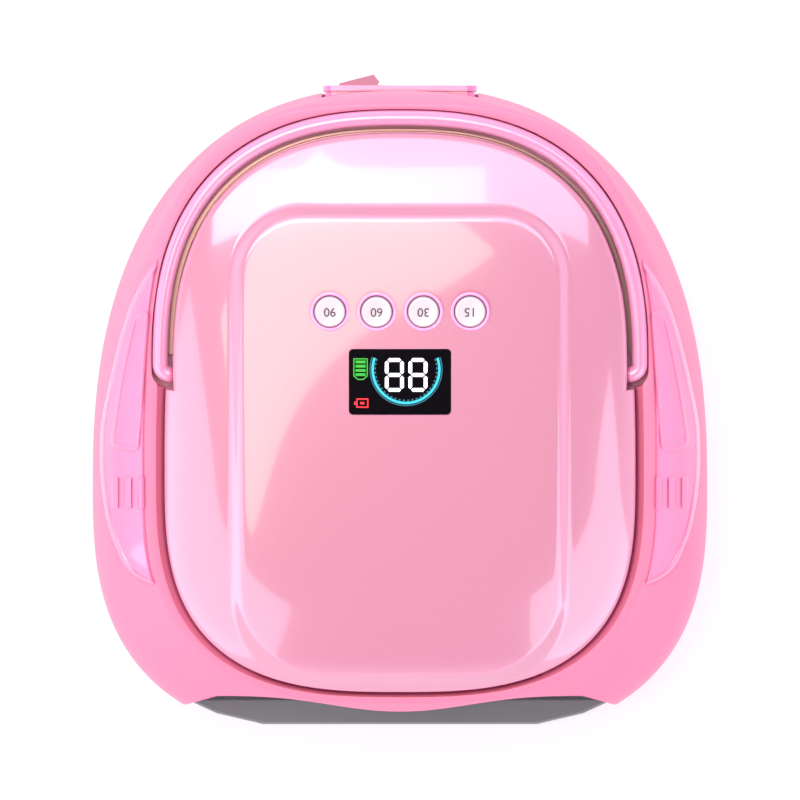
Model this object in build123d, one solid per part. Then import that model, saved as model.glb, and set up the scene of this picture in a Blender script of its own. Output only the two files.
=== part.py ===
from build123d import *
from collections import namedtuple
import math
import os

# A cordless UV nail lamp with a folding carry handle. Lengths are millimetres, angles degrees.
# The origin is on the table under the middle of the lamp: +X is right, +Y the back, +Z up.
# The hand goes in at the front, towards -Y. The glossy cover, the keys, the display and the
# handle lie on a deck that is tilted so that it falls towards the front.

# An egg outline is two halves of rounded rectangle form that meet at the widest line.
Egg = namedtuple("Egg", "half_width back front widest back_power front_power")
OUTLINE_POINTS = 40

# The deck: a tilted plane whose middle is above the origin
DECK_TILT = 7.0
DECK_Z = 72.0
DECK = Pos(0, 0, DECK_Z) * Rot(X=DECK_TILT)

# The casing, from its bottom edge up to the crest around the deck
CASING_BOTTOM_Z = 2.0
BELLY_Z = 26.0
WAIST_Z = 50.0
SHOULDER_H = -6.5
CREST_H = 2.0
BOTTOM_EGG = Egg(111.0, 113.5, -125.0, -31.6, 2.4, 2.8)
BELLY_EGG = Egg(115.0, 117.2, -129.0, -31.6, 2.4, 2.8)
WAIST_EGG = Egg(111.2, 115.2, -124.5, -31.6, 2.4, 2.8)
SHOULDER_EGG = Egg(103.4, 113.0, -119.0, -31.0, 2.7, 2.8)
CREST_EGG = Egg(94.6, 110.8, -113.4, -30.0, 3.3, 2.85)
SHELL_WALL = 2.6
LEDGE_THICK = 5.0

# The mouth, where the hand goes in
LIP_CENTRE_Y = -116.1
LIP_SIDE_Y = -110.3
LIP_SIDE_X = 68.0
JAMB_Y = -113.9
FRONT_WALL_Y = -105.0
MOUTH_HALF_WIDTH = 78.3
MOUTH_TOP_Z = 48.0
MOUTH_CORNER = 24.0

# The glossy cover on the deck. Heights are measured square to the deck.
SEAM_EGG = Egg(87.5, 100.9, -109.1, -30.0, 3.0, 2.85)
COVER_BACK_EGG = Egg(84.3, 100.2, -73.2, 13.5, 2.5, 2.5)
CHAMFER_EGG = Egg(91.2, 104.6, -111.6, -30.0, 3.0, 2.85)
SEAT_H = -2.0
SEAM_GAP = 0.3
RIM_H = 5.0
DOME_RISE = 16.0
DOME_POWER = 6
CROWN_RADIUS = 900.0
CROWN_V = -15.0
COVER_WALL = 2.2
LEDGE_OPENING_EGG = Egg(76.0, 90.0, -99.0, 0.0, 3.0, 3.0)
OPENING_DEEPER = 0.2
CARRIER_GAP = 0.15
CARRIER_FLANGE_THICK = 2.5
CARRIER_FLANGE_EGG = Egg(97.0, 108.0, -110.0, -30.0, 2.8, 2.85)
CARRIER_FRONT_V = -104.4

# The raised panel in the middle of the cover
PANEL_HALF_WIDTH = 57.7
PANEL_BACK_V = 69.2
PANEL_FRONT_V = -100.8
PANEL_BACK_CORNER = 22.0
PANEL_FRONT_CORNER = 30.0
PANEL_BAND = 6.0
PANEL_RISE = 2.5
DOME_GRID_STEP = 5.0
DOME_GRID_MARGIN = 4.0

# The carry handle, its channel and its pivots
HANDLE_HALF_WIDTH = 89.0
HANDLE_BACK_V = 105.5
HANDLE_POWER = 2.5
HANDLE_WIDE = 6.0
HANDLE_TALL = 8.0
HANDLE_H = 0.8
ELBOW_RADIUS = 3.8
PIVOT_V = 9.7
STUB_RADIUS = 2.8
STUB_END_X = 70.0
STUB_RUN_GAP = 0.05
STUB_HOLE_GAP = 0.4
CHANNEL_GAP = 0.5
CHANNEL_END_V = 4.5
HANDLE_REST_GAP = 0.3
BUSH_WALL = 1.4
BUSH_INNER_X = 72.6
BUSH_OUTER_X = 78.6
PIVOT_BLOCK_HALF = 6.0
PIVOT_BLOCK_TOP_H = 5.4
CLIP_THICK = 0.8
CLIP_RADIUS = 4.6
CLIP_GROOVE_RADIUS = 2.1

# The rose-gold strip that lines the channel beside the cover
TRIM_WIDE_SIDE = 1.7
TRIM_WIDE_BACK = 0.8
TRIM_TALL = 1.5
TRIM_GAP = 0.15
TRIM_END_V = 17.0

# The raised side panels, their long pads and their three ribs
SIDE_PANEL_RISE = 1.5
SIDE_PANEL_GAP = 0.15
SIDE_DETAIL_RISE = 1.0
SIDE_DETAIL_ROOT = 0.9
FLANK_STEPS = (-8, 13)
SIDE_PANEL_CREST_GAP = 0.4
SIDE_PANEL_OUTLINE = [
    (82.0, 62.5), (99.4, 37.2), (109.8, 0.0), (111.9, -18.6),
    (110.6, -37.2), (106.8, -52.9), (99.5, -65.0), (82.0, -72.0),
]
PAD_CORNERS = [(94.2, 33.0), (99.0, 33.0), (107.6, -17.0), (97.6, -18.5)]
PAD_CORNER_RADIUS = 2.2
RIBS = [(94.6, 97.6), (99.6, 102.6), (104.6, 107.4)]
RIB_FRONT_Y = -40.5
RIB_BACK_Y = -28.5

# The display and the four keys, along the middle of the raised panel
DISPLAY_V = 9.55
DISPLAY_WIDE = 37.6
DISPLAY_DEEP = 24.2
DISPLAY_CORNER = 1.6
DISPLAY_FLANGE = 2.0
DISPLAY_THICK = 3.4
DISPLAY_GAP = 0.15
MODULE_MARGIN = 1.0
MODULE_GAP = 0.2
KEY_V = 35.6
KEY_PITCH = 17.3
KEY_NAMES = ["key_90s", "key_60s", "key_30s", "key_15s"]
KEY_RADIUS = 5.8
KEY_PROUD = 1.4
KEY_FLANGE = 0.9
KEY_GAP = 0.3
KEY_STOP_GAP = 0.1
KEY_EDGE = 0.5
RING_WALL = 1.1
RING_PROUD = 0.5
RING_DEEP = 2.6
PLUNGER_RADIUS = 1.6
PLUNGER_WELL_GAP = 0.3
PLUNGER_REST_GAP = 1.0
SWITCH_SIDE = 6.0
SWITCH_TALL = 3.4

# The control board that hangs from the cover
BOARD_THICK = 1.6
BOARD_H = 11.0
BOARD_HALF_WIDTH = 37.0
BOARD_FRONT_V = -8.0
BOARD_BACK_V = 46.0
BOARD_POST_RADIUS = 3.0
BOARD_POST_INSET = 4.0

# The reflector liner around the hand, and the lamps that shine through it
LINER_WALL = 1.8
LINER_BACK_Y = 80.0
LINER_BACK_CORNER = 40.0
LINER_FLANGE_X = 88.0
LINER_FLANGE_BACK_Y = 84.0
LINER_FLANGE_TALL = 1.6
LINER_FLANGE_GAP = 1.0
BEAD_RADIUS = 3.6
BEAD_TALL = 2.4
BEAD_LENS_RADIUS = 2.8
BEAD_LENS_DEPTH = 1.0
BEAD_HOLE_GAP = 0.6
ROOF_BEAD_X = [-45.0, -27.0, -9.0, 9.0, 27.0, 45.0]
ROOF_BEAD_Y = [-68.0, -44.0, -20.0, 4.0, 28.0]
SIDE_BEAD_Y = [-65.0, -35.0, -5.0, 25.0]
SIDE_BEAD_Z = 17.0
LED_BOARD_HALF_WIDTH = 52.0
LED_BOARD_FRONT_Y = -82.0
LED_BOARD_BACK_Y = 44.0
SIDE_BOARD_FRONT_Y = -75.0
SIDE_BOARD_BACK_Y = 35.0
SIDE_BOARD_LOW_Z = 9.0
SIDE_BOARD_HIGH_Z = 24.0
SPREADER_THICK = 1.6
SPREADER_INSET = 2.0
SENSOR_Y = -76.0
SENSOR_X = 5.0
SENSOR_RADIUS = 2.5
SENSOR_DROP = 3.4

# The battery pack on top of the heat spreader
CELL_RADIUS = 9.2
CELL_LENGTH = 65.0
CELL_Y = [-64.0, -44.6, -25.2]
CELL_GAP = 0.2
HOLDER_WALL = 1.5
HOLDER_TALL = 9.0

# The base frame, its feet, and the tray that slides out to the front
BASE_TOP_Z = 5.6
BASE_GAP = 0.3
SLOT_BACK_Y = 82.0
RAIL_TOP_Z = 3.4
RAIL_WIDE = 3.8
TRAY_GAP = 0.3
TRAY_THICK = 1.8
TRAY_FRONT_Y = -121.7
TRAY_FLAT_X = 51.4
TRAY_BULGE_X = 68.9
TRAY_BULGE_Y = -117.6
TRAY_CORNER_Y = -113.4
TRAY_LIP_BACK_Y = -112.0
TRAY_LIP_BOTTOM_Z = 1.2
TRAY_LIP_TOP_Z = 7.0
TRAY_LIP_EDGE = 0.8
TRAY_SHEET_THICK = 0.4
TRAY_SHEET_MARGIN = 3.5
FOOT_RADIUS = 7.0
FOOT_SUNK = 0.6
FOOT_GAP = 0.2
FOOT_PLACES = [(90.0, 38.0), (92.0, -70.0)]
MAGNET_SIZE = (10.0, 3.0, 2.0)
MAGNET_X = 60.0
STRIKE_THICK = 1.0

# The screws
SCREW_RADIUS = 1.4
SCREW_HEAD_RADIUS = 2.6
SCREW_HEAD_TALL = 1.6
SCREW_GAP = 0.02
BASE_SCREW_PLACES = [(101.0, 8.0), (94.0, -84.0), (58.0, 90.0)]
BASE_SCREW_TOP_Z = 15.0
BOSS_HALF = 4.0
BOSS_TOP_Z = 18.0
LINER_SCREW_PLACES = [(84.0, 55.0), (84.0, -15.0), (84.0, -95.0)]
COVER_SCREW_PLACES = [(71.5, 60.0), (80.5, -30.0), (58.0, -91.0)]
COVER_POST_RADIUS = 3.2
COVER_SCREW_TOP_H = 4.0
COVER_POST_HOLE_DEEPER = 0.6

# The flat panel at the back with the rocker switch and the charging socket
REAR_SEAT_Y = 112.0
REAR_CENTRE_Z = 36.0
REAR_HALF_WIDTH = 28.7
REAR_HALF_TALL = 16.0
REAR_PLATE_INSET = 0.9
REAR_PLATE_Y = 115.2
REAR_BEAD_Y = 117.2
REAR_BEAD_WALL = 2.2
REAR_CORNER = 4.0
REAR_GAP = 0.5
REAR_BLOCK_MARGIN = 5.0
REAR_BLOCK_Y = 106.0
REAR_WINDOW_HALF_WIDTH = 24.5
REAR_WINDOW_HALF_TALL = 8.2
REAR_SCREW_Z = 10.9
REAR_SCREW_X = 20.0
REAR_SCREW_DEEP = 8.0
ROCKER_X = -14.7
ROCKER_PIVOT_Y = 113.8
ROCKER_TILT = 14.4
ROCKER_HALF_LENGTH = 6.6
ROCKER_ARM = 6.3
ROCKER_END_X = 8.0
ROCKER_END_Y = 3.2
ROCKER_TALL = 8.6
ROCKER_ROOT = 2.2
ROCKER_GAP = 0.35
ROCKER_PIN_RADIUS = 1.0
ROCKER_PIN_GAP = 0.05
ROCKER_PIN_REACH = 1.2
BEZEL_HALF_WIDTH = 9.6
BEZEL_HALF_TALL = 6.4
BEZEL_Y = 117.5
SWITCH_BODY_HALF_WIDTH = 9.3
SWITCH_WELL_HALF_WIDTH = 8.8
SWITCH_BODY_HALF_TALL = 5.8
SWITCH_BODY_BACK_Y = 100.0
SWITCH_WELL_Y = 110.2
SWITCH_TAB_LENGTH = 5.0
SOCKET_X = 14.0
SOCKET_FLANGE_RADIUS = 5.6
SOCKET_FLANGE_Y = 116.4
SOCKET_BODY_RADIUS = 4.2
SOCKET_BACK_Y = 102.5
SOCKET_BORE_RADIUS = 2.85
SOCKET_BORE_DEPTH = 9.5
SOCKET_PIN_RADIUS = 1.0
SOCKET_PIN_SHORT = 1.5
SOCKET_GAP = 0.2
SOCKET_NUT_RADIUS = 6.2
SOCKET_NUT_THICK = 2.0
SOCKET_NUT_FACE_Y = 112.0

# The charging board that stands on the base frame behind the liner
POWER_BOARD_HALF_WIDTH = 34.0
POWER_BOARD_FRONT_Y = 87.0
POWER_BOARD_BACK_Y = 103.0
POWER_BOARD_Z = 9.6
POWER_POST_RADIUS = 2.4
POWER_PLUG_SIZE = (12.0, 7.0, 6.0)

FAR = 400.0


def grown(egg, by):
    """The same outline, moved outwards by a distance on every side."""
    return Egg(egg.half_width + by, egg.back + by, egg.front - by,
               egg.widest, egg.back_power, egg.front_power)


def egg_point(egg, angle):
    """A point of the outline; angle 0 is at the right on the widest line."""
    across, along = math.cos(angle), math.sin(angle)
    power = egg.back_power if along >= 0 else egg.front_power
    reach = egg.back - egg.widest if along >= 0 else egg.widest - egg.front
    x = egg.half_width * math.copysign(abs(across) ** (2 / power), across)
    y = egg.widest + reach * math.copysign(abs(along) ** (2 / power), along)
    return x, y


def egg_face(egg):
    turns = [2 * math.pi * step / OUTLINE_POINTS for step in range(OUTLINE_POINTS)]
    edge = Edge.make_spline([Vector(*egg_point(egg, turn)) for turn in turns], periodic=True)
    return make_face(edge)


def egg_prism(egg, low, high):
    return Pos(0, 0, low) * extrude(egg_face(egg), high - low)


def block(low, high):
    """A box between two opposite corners."""
    size = [top - bottom for bottom, top in zip(low, high)]
    middle = [(top + bottom) / 2 for bottom, top in zip(low, high)]
    return Pos(*middle) * Box(*size)


def behind(v, low=-FAR, high=FAR):
    """Everything further back than v, between two heights."""
    return block((-FAR, v, low), (FAR, FAR, high))


def post(x, y, radius, low, high):
    return Pos(x, y, low) * Cylinder(radius, high - low, align=(Align.CENTER, Align.CENTER, Align.MIN))


def group(solids):
    """Separate solids of one kind that share a node."""
    return Compound(children=[solid.solid() for solid in solids])


def mirrored(places):
    """The same places on the right and on the left."""
    return [(side * x, y) for x, y in places for side in (1, -1)]


CASING_LEVELS = [
    (Pos(0, 0, CASING_BOTTOM_Z), BOTTOM_EGG),
    (Pos(0, 0, BELLY_Z), BELLY_EGG),
    (Pos(0, 0, WAIST_Z) * Rot(X=DECK_TILT / 2), WAIST_EGG),
    (DECK * Pos(0, 0, SHOULDER_H), SHOULDER_EGG),
    (DECK * Pos(0, 0, CREST_H), CREST_EGG),
]


def casing(by=0.0):
    """The outside of the casing as one solid, grown outwards by a distance."""
    return loft([place * egg_face(grown(egg, by)) for place, egg in CASING_LEVELS])


def flank(side, low, high):
    """A skin over one side of the casing, between two distances from it."""
    turns = [2 * math.pi * step / OUTLINE_POINTS for step in range(FLANK_STEPS[0], FLANK_STEPS[1])]
    sections = []
    for place, egg in CASING_LEVELS:
        under = [(side * x, y) for x, y in (egg_point(grown(egg, low), turn) for turn in turns)]
        over = [(side * x, y) for x, y in (egg_point(grown(egg, high), turn) for turn in turns)]
        edges = [Spline(*over), Line(over[-1], under[-1]), Spline(*under), Line(under[0], over[0])]
        sections.append(place * make_face(edges))
    return loft(sections)


def mouth_cut():
    """What the front cut takes away: all in front of the lip, which bulges in the middle."""
    quarter = (LIP_CENTRE_Y + 3 * LIP_SIDE_Y) / 4
    jamb_x = MOUTH_HALF_WIDTH + 2
    half = LIP_SIDE_X / 2
    lip = Spline((-LIP_SIDE_X, LIP_SIDE_Y), (-half, quarter), (0, LIP_CENTRE_Y), (half, quarter),
                 (LIP_SIDE_X, LIP_SIDE_Y), tangents=[(1, 0), (1, 0)])
    edges = [
        lip,
        Line((LIP_SIDE_X, LIP_SIDE_Y), (jamb_x, JAMB_Y)),
        Line((jamb_x, JAMB_Y), (FAR, JAMB_Y)),
        Line((FAR, JAMB_Y), (FAR, -FAR)),
        Line((FAR, -FAR), (-FAR, -FAR)),
        Line((-FAR, -FAR), (-FAR, JAMB_Y)),
        Line((-FAR, JAMB_Y), (-jamb_x, JAMB_Y)),
        Line((-jamb_x, JAMB_Y), (-LIP_SIDE_X, LIP_SIDE_Y)),
    ]
    return Pos(0, 0, -FAR) * extrude(make_face(edges), 2 * FAR)


def arch(by, front, back):
    """The rounded arch of the mouth, grown by a wall, between two places along Y."""
    half = MOUTH_HALF_WIDTH + by
    top = MOUTH_TOP_Z + by
    tunnel = block((-half, front, -top), (half, back, top))
    long_edges = tunnel.edges().filter_by(Axis.Y).group_by(Axis.Z)[-1]
    return fillet(long_edges, MOUTH_CORNER + by)


def channel_egg():
    """The outer wall of the channel, a gap outside the handle."""
    centreline = Egg(HANDLE_HALF_WIDTH, HANDLE_BACK_V, -HANDLE_BACK_V, PIVOT_V + ELBOW_RADIUS,
                     HANDLE_POWER, HANDLE_POWER)
    return grown(centreline, HANDLE_WIDE / 2 + CHANNEL_GAP)


def channel_floor():
    return HANDLE_H - HANDLE_TALL / 2 - HANDLE_REST_GAP


def deck_opening():
    """The opening in the casing's top: a tapered wall in front, the handle's channel behind."""
    low = SEAT_H - LEDGE_THICK - OPENING_DEEPER
    top = CREST_H + 1
    seam = grown(SEAM_EGG, SEAM_GAP)
    front = egg_prism(seam, low, SEAT_H)
    front += loft([Pos(0, 0, SEAT_H) * egg_face(seam), Pos(0, 0, top) * egg_face(CHAMFER_EGG)])
    front -= behind(CHANNEL_END_V)
    return front + (egg_prism(channel_egg(), low, top) & behind(CHANNEL_END_V))


def deck_carrier():
    """The inner frame under the cover. It carries the cover's screws and the handle's bushes."""
    low = SEAT_H - LEDGE_THICK - CARRIER_FLANGE_THICK
    step = CHANNEL_END_V + CARRIER_GAP
    carrier = egg_prism(grown(SEAM_EGG, SEAM_GAP - CARRIER_GAP), low, SEAT_H) - behind(step)
    carrier += egg_prism(grown(channel_egg(), -CARRIER_GAP), low, channel_floor()) & behind(step)
    carrier += egg_prism(COVER_BACK_EGG, channel_floor(), SEAT_H) & behind(step)
    flange = egg_prism(CARRIER_FLANGE_EGG, low, low + CARRIER_FLANGE_THICK - CARRIER_GAP)
    carrier += flange
    carrier &= behind(CARRIER_FRONT_V)
    carrier -= egg_prism(LEDGE_OPENING_EGG, low - 1, SEAT_H + 1)
    hole = SCREW_RADIUS + SCREW_GAP
    holes = [post(x, v, hole, low - 1, SEAT_H + 1) for x, v in mirrored(COVER_SCREW_PLACES)]
    for side in (1, -1):
        near, far = sorted((side * BUSH_INNER_X, side * BUSH_OUTER_X))
        carrier += block((near, PIVOT_V - PIVOT_BLOCK_HALF, low),
                         (far, PIVOT_V + PIVOT_BLOCK_HALF, PIVOT_BLOCK_TOP_H))
        holes.append(along_x(bush_radius(), near, far, PIVOT_V, HANDLE_H))
        near, far = sorted((side * BUSH_OUTER_X, side * HANDLE_HALF_WIDTH))
        holes.append(along_x(STUB_RADIUS + STUB_HOLE_GAP, near, far, PIVOT_V, HANDLE_H))
    return DECK * (carrier - holes)


def rear_window():
    """The hole through the back wall for the switch and the socket."""
    return block(
        (-REAR_WINDOW_HALF_WIDTH, REAR_BLOCK_Y - 1, REAR_CENTRE_Z - REAR_WINDOW_HALF_TALL),
        (REAR_WINDOW_HALF_WIDTH, FAR, REAR_CENTRE_Z + REAR_WINDOW_HALF_TALL))


def bush_radius():
    return STUB_RADIUS + STUB_RUN_GAP + BUSH_WALL


def along_x(radius, low, high, y, z):
    """A round bar along X."""
    return Pos((low + high) / 2, y, z) * Rot(Y=90) * Cylinder(radius, high - low)


def along_y(radius, low, high, x, z):
    """A round bar along Y."""
    return Pos(x, (low + high) / 2, z) * Rot(X=90) * Cylinder(radius, high - low)


def solid_under_skin():
    """What stays solid inside the casing: the front wall, the rear block and the screw bosses."""
    margin = REAR_HALF_WIDTH + REAR_BLOCK_MARGIN
    tall = REAR_HALF_TALL + REAR_BLOCK_MARGIN
    solids = [
        block((-FAR, -FAR, -FAR), (FAR, FRONT_WALL_Y, FAR)),
        block((-margin, REAR_BLOCK_Y, REAR_CENTRE_Z - tall), (margin, FAR, REAR_CENTRE_Z + tall)),
        DECK * block((-FAR, -FAR, SEAT_H - LEDGE_THICK), (FAR, FAR, FAR)),
    ]
    for x, y in mirrored(BASE_SCREW_PLACES):
        near, far = sorted((x - math.copysign(BOSS_HALF, x), math.copysign(FAR, x)))
        solids.append(block((near, y - BOSS_HALF, BASE_TOP_Z), (far, y + BOSS_HALF, BOSS_TOP_Z)))
    return solids


def outer_shell():
    """The pink casing: one hollow moulding with the mouth, the opening on top and the screw bosses."""
    hollow = casing(-SHELL_WALL)
    for solid in solid_under_skin():
        hollow -= solid
    pocket_half = REAR_HALF_WIDTH + REAR_GAP
    pocket_tall = REAR_HALF_TALL + REAR_GAP
    pocket = block((-pocket_half, REAR_SEAT_Y, REAR_CENTRE_Z - pocket_tall),
                   (pocket_half, FAR, REAR_CENTRE_Z + pocket_tall))
    shell = casing() - mouth_cut() - DECK * deck_opening() - hollow - pocket
    shell -= arch(0, -FAR, FRONT_WALL_Y + 1)
    shell -= rear_window()

    hole = SCREW_RADIUS + SCREW_GAP
    holes = []
    for x, y in mirrored(BASE_SCREW_PLACES):
        holes.append(post(x, y, hole, CASING_BOTTOM_Z, BASE_SCREW_TOP_Z + COVER_POST_HOLE_DEEPER))
    for x, z in rear_screw_places():
        holes.append(along_y(hole, REAR_SEAT_Y - REAR_SCREW_DEEP, REAR_SEAT_Y + 1, x, z))
    return shell - holes


def edge_distance(u, v):
    """How far a point of the deck lies inside the raised panel's outline; less than 0 is outside."""
    middle = (PANEL_BACK_V + PANEL_FRONT_V) / 2
    half_length = (PANEL_BACK_V - PANEL_FRONT_V) / 2
    corner = PANEL_BACK_CORNER if v > middle else PANEL_FRONT_CORNER
    beside = abs(u) - PANEL_HALF_WIDTH + corner
    beyond = abs(v - middle) - half_length + corner
    outside = math.hypot(max(beside, 0), max(beyond, 0))
    return corner - outside - min(max(beside, beyond), 0)


def cover_height(u, v):
    """Height of the cover's outer surface over the deck: a dome, a faint crown and the panel."""
    reach = SEAM_EGG.back - SEAM_EGG.widest if v > SEAM_EGG.widest else SEAM_EGG.widest - SEAM_EGG.front
    power = SEAM_EGG.front_power
    across = (abs(u) / SEAM_EGG.half_width) ** power
    along = (abs(v - SEAM_EGG.widest) / reach) ** power
    ring = (across + along) ** (1 / power)
    crown = (u ** 2 + (v - CROWN_V) ** 2) / (2 * CROWN_RADIUS)
    dome = (DOME_RISE - crown) * (1 - ring ** DOME_POWER)
    share = min(max(1 + edge_distance(u, v) / PANEL_BAND, 0), 1)
    panel = PANEL_RISE * share ** 2 * (3 - 2 * share)
    return RIM_H + dome + panel


def under_cover():
    """All the space under the cover's outer surface, in deck coordinates."""
    half = SEAM_EGG.half_width + DOME_GRID_MARGIN
    front = SEAM_EGG.front - DOME_GRID_MARGIN
    length = SEAM_EGG.back + DOME_GRID_MARGIN - front
    across = math.ceil(2 * half / DOME_GRID_STEP)
    along = math.ceil(length / DOME_GRID_STEP)
    rows = []
    for i in range(across + 1):
        u = -half + 2 * half * i / across
        columns = [front + length * j / along for j in range(along + 1)]
        rows.append([Vector(u, v, cover_height(u, v)) for v in columns])
    surface = Face.make_surface_from_array_of_points(rows, tol=0.05)
    return extrude(surface, amount=FAR / 4, dir=(0, 0, -1))


UNDER_COVER = under_cover()


def cover_outline(inset, low, high):
    """The cover's plan as a prism. Behind the pivots it steps in to leave the channel free."""
    step = CHANNEL_END_V - inset
    front = egg_prism(grown(SEAM_EGG, -inset), low, high) - behind(step)
    back = egg_prism(grown(COVER_BACK_EGG, -inset), low, high) & behind(step)
    return front + back


def display_prism(by, low, high):
    """A rounded rectangle at the display's place, grown by a margin."""
    outline = RectangleRounded(DISPLAY_WIDE + 2 * by, DISPLAY_DEEP + 2 * by, DISPLAY_CORNER + max(by, 0))
    return Pos(0, DISPLAY_V, low) * extrude(outline, high - low)


def key_places():
    first = -KEY_PITCH * (len(KEY_NAMES) - 1) / 2
    return [first + KEY_PITCH * place for place in range(len(KEY_NAMES))]


def ring_radius():
    return KEY_RADIUS + KEY_GAP + RING_WALL


def board_post_places():
    x = BOARD_HALF_WIDTH - BOARD_POST_INSET
    return mirrored([(x, BOARD_FRONT_V + BOARD_POST_INSET), (x, BOARD_BACK_V - BOARD_POST_INSET)])


def visor_cover():
    """The glossy domed cover with its raised panel, screw posts and openings."""
    top = RIM_H + DOME_RISE + PANEL_RISE + 1
    blank = UNDER_COVER & cover_outline(0, SEAT_H, top)
    hollow = Pos(0, 0, -COVER_WALL) * UNDER_COVER & cover_outline(COVER_WALL, SEAT_H - 1, top)
    cover = blank - hollow
    for x, v in mirrored(COVER_SCREW_PLACES):
        cover += post(x, v, COVER_POST_RADIUS, SEAT_H, top) & blank
    for x, v in board_post_places():
        cover += post(x, v, BOARD_POST_RADIUS, BOARD_H + BOARD_THICK, top) & blank

    hole = SCREW_RADIUS + SCREW_GAP
    for x, v in mirrored(COVER_SCREW_PLACES):
        cover -= post(x, v, hole, SEAT_H - 1, COVER_SCREW_TOP_H + COVER_POST_HOLE_DEEPER)
    for x, v in board_post_places():
        cover -= post(x, v, hole, BOARD_H, BOARD_H + BOARD_THICK + board_screw_grip() + COVER_POST_HOLE_DEEPER)
    for x in key_places():
        cover -= post(x, KEY_V, ring_radius(), RIM_H, top)
    cover -= display_prism(DISPLAY_GAP, RIM_H, top)
    for side in (1, -1):
        low, high = sorted((side * BUSH_INNER_X, side * HANDLE_HALF_WIDTH))
        cover -= along_x(STUB_RADIUS + STUB_HOLE_GAP, low, high, PIVOT_V, HANDLE_H)
    return DECK * cover


def display_window():
    """The smoked window, flush with the panel and held by a flange under the cover."""
    top = RIM_H + DOME_RISE + PANEL_RISE + 1
    plug = UNDER_COVER & display_prism(0, RIM_H, top)
    flange = Pos(0, 0, -COVER_WALL) * UNDER_COVER & display_prism(DISPLAY_FLANGE, RIM_H, top)
    underside = Pos(0, 0, -DISPLAY_THICK) * UNDER_COVER
    return DECK * (plug + flange - underside)


def display_module():
    """The seven-segment display block between the control board and the window."""
    corner_u = DISPLAY_WIDE / 2 + DISPLAY_FLANGE
    reach_v = DISPLAY_DEEP / 2 + DISPLAY_FLANGE
    lowest = min(cover_height(corner_u, DISPLAY_V - reach_v), cover_height(corner_u, DISPLAY_V + reach_v))
    top = lowest - DISPLAY_THICK - MODULE_GAP
    return DECK * display_prism(-MODULE_MARGIN, BOARD_H + BOARD_THICK, top)


def key_rings():
    """The four trim rings that the keys slide in."""
    rings = []
    for x in key_places():
        top = cover_height(x, KEY_V)
        ring = post(x, KEY_V, ring_radius(), top - RING_DEEP, top + RING_PROUD)
        ring -= post(x, KEY_V, KEY_RADIUS + KEY_GAP, top - RING_DEEP - 1, top + RING_PROUD + 1)
        rings.append(DECK * ring)
    return group(rings)


def key_caps():
    """One cap for each key, with the plunger that reaches into its switch."""
    caps = {}
    for name, x in zip(KEY_NAMES, key_places()):
        top = cover_height(x, KEY_V) + KEY_PROUD
        low = top - KEY_PROUD - RING_DEEP - KEY_FLANGE - KEY_STOP_GAP
        cap = post(x, KEY_V, KEY_RADIUS, low, top)
        cap = fillet(cap.edges().group_by(Axis.Z)[-1], KEY_EDGE)
        cap += post(x, KEY_V, KEY_RADIUS + KEY_FLANGE, low, low + KEY_FLANGE)
        cap += post(x, KEY_V, PLUNGER_RADIUS, BOARD_H + BOARD_THICK + PLUNGER_REST_GAP, low)
        caps[name] = DECK * cap
    return caps


def key_switches():
    """The four small push switches on the control board, each with the well its plunger enters."""
    switches = []
    low = BOARD_H + BOARD_THICK
    for x in key_places():
        body = Pos(x, KEY_V, low + SWITCH_TALL / 2) * Box(SWITCH_SIDE, SWITCH_SIDE, SWITCH_TALL)
        well = post(x, KEY_V, PLUNGER_RADIUS + PLUNGER_WELL_GAP, low + PLUNGER_WELL_GAP, low + SWITCH_TALL + 1)
        switches.append(DECK * (body - well))
    return group(switches)


def control_board():
    board = block((-BOARD_HALF_WIDTH, BOARD_FRONT_V, BOARD_H),
                  (BOARD_HALF_WIDTH, BOARD_BACK_V, BOARD_H + BOARD_THICK))
    for x, v in board_post_places():
        board -= post(x, v, SCREW_RADIUS + SCREW_GAP, BOARD_H - 1, BOARD_H + BOARD_THICK + 1)
    return DECK * board


def board_screw_grip():
    """How far a board screw goes into its post."""
    return 3 * SCREW_RADIUS


def screw_up(x, y, seat, top):
    """A pan-head screw whose head is under its seat and whose shank points up."""
    return post(x, y, SCREW_HEAD_RADIUS, seat - SCREW_HEAD_TALL, seat) + post(x, y, SCREW_RADIUS, seat, top)


def board_screws():
    top = BOARD_H + BOARD_THICK + board_screw_grip()
    return group([DECK * screw_up(x, v, BOARD_H, top) for x, v in board_post_places()])


def cover_screws():
    """The screws that hold the cover down, driven up through the ledge."""
    seat = SEAT_H - LEDGE_THICK - CARRIER_FLANGE_THICK
    return group([DECK * screw_up(x, v, seat, COVER_SCREW_TOP_H) for x, v in mirrored(COVER_SCREW_PLACES)])


def side_panel(side):
    """One raised side panel with its long pad and three ribs, clipped over the casing."""
    outline = [(side * x, y) for x, y in SIDE_PANEL_OUTLINE]
    plan = make_face([Spline(*outline), Line(outline[-1], outline[0])])
    region = Pos(0, 0, WAIST_Z) * extrude(plan, FAR)
    panel = flank(side, SIDE_PANEL_GAP, SIDE_PANEL_RISE) & region

    corners = [(side * x, y) for x, y in PAD_CORNERS]
    pad = make_face(Polyline(*corners, close=True))
    pad = fillet(pad.vertices(), PAD_CORNER_RADIUS)
    details = [Pos(0, 0, WAIST_Z) * extrude(pad, FAR)]
    for inner, outer in RIBS:
        near, far = sorted((side * inner, side * outer))
        details.append(block((near, RIB_FRONT_Y, WAIST_Z), (far, RIB_BACK_Y, FAR)))
    detail_skin = flank(side, SIDE_PANEL_RISE - SIDE_DETAIL_ROOT, SIDE_PANEL_RISE + SIDE_DETAIL_RISE)
    for detail in details:
        panel += detail & detail_skin
    return panel - DECK * egg_prism(grown(CREST_EGG, SIDE_PANEL_CREST_GAP), -FAR, FAR)


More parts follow.
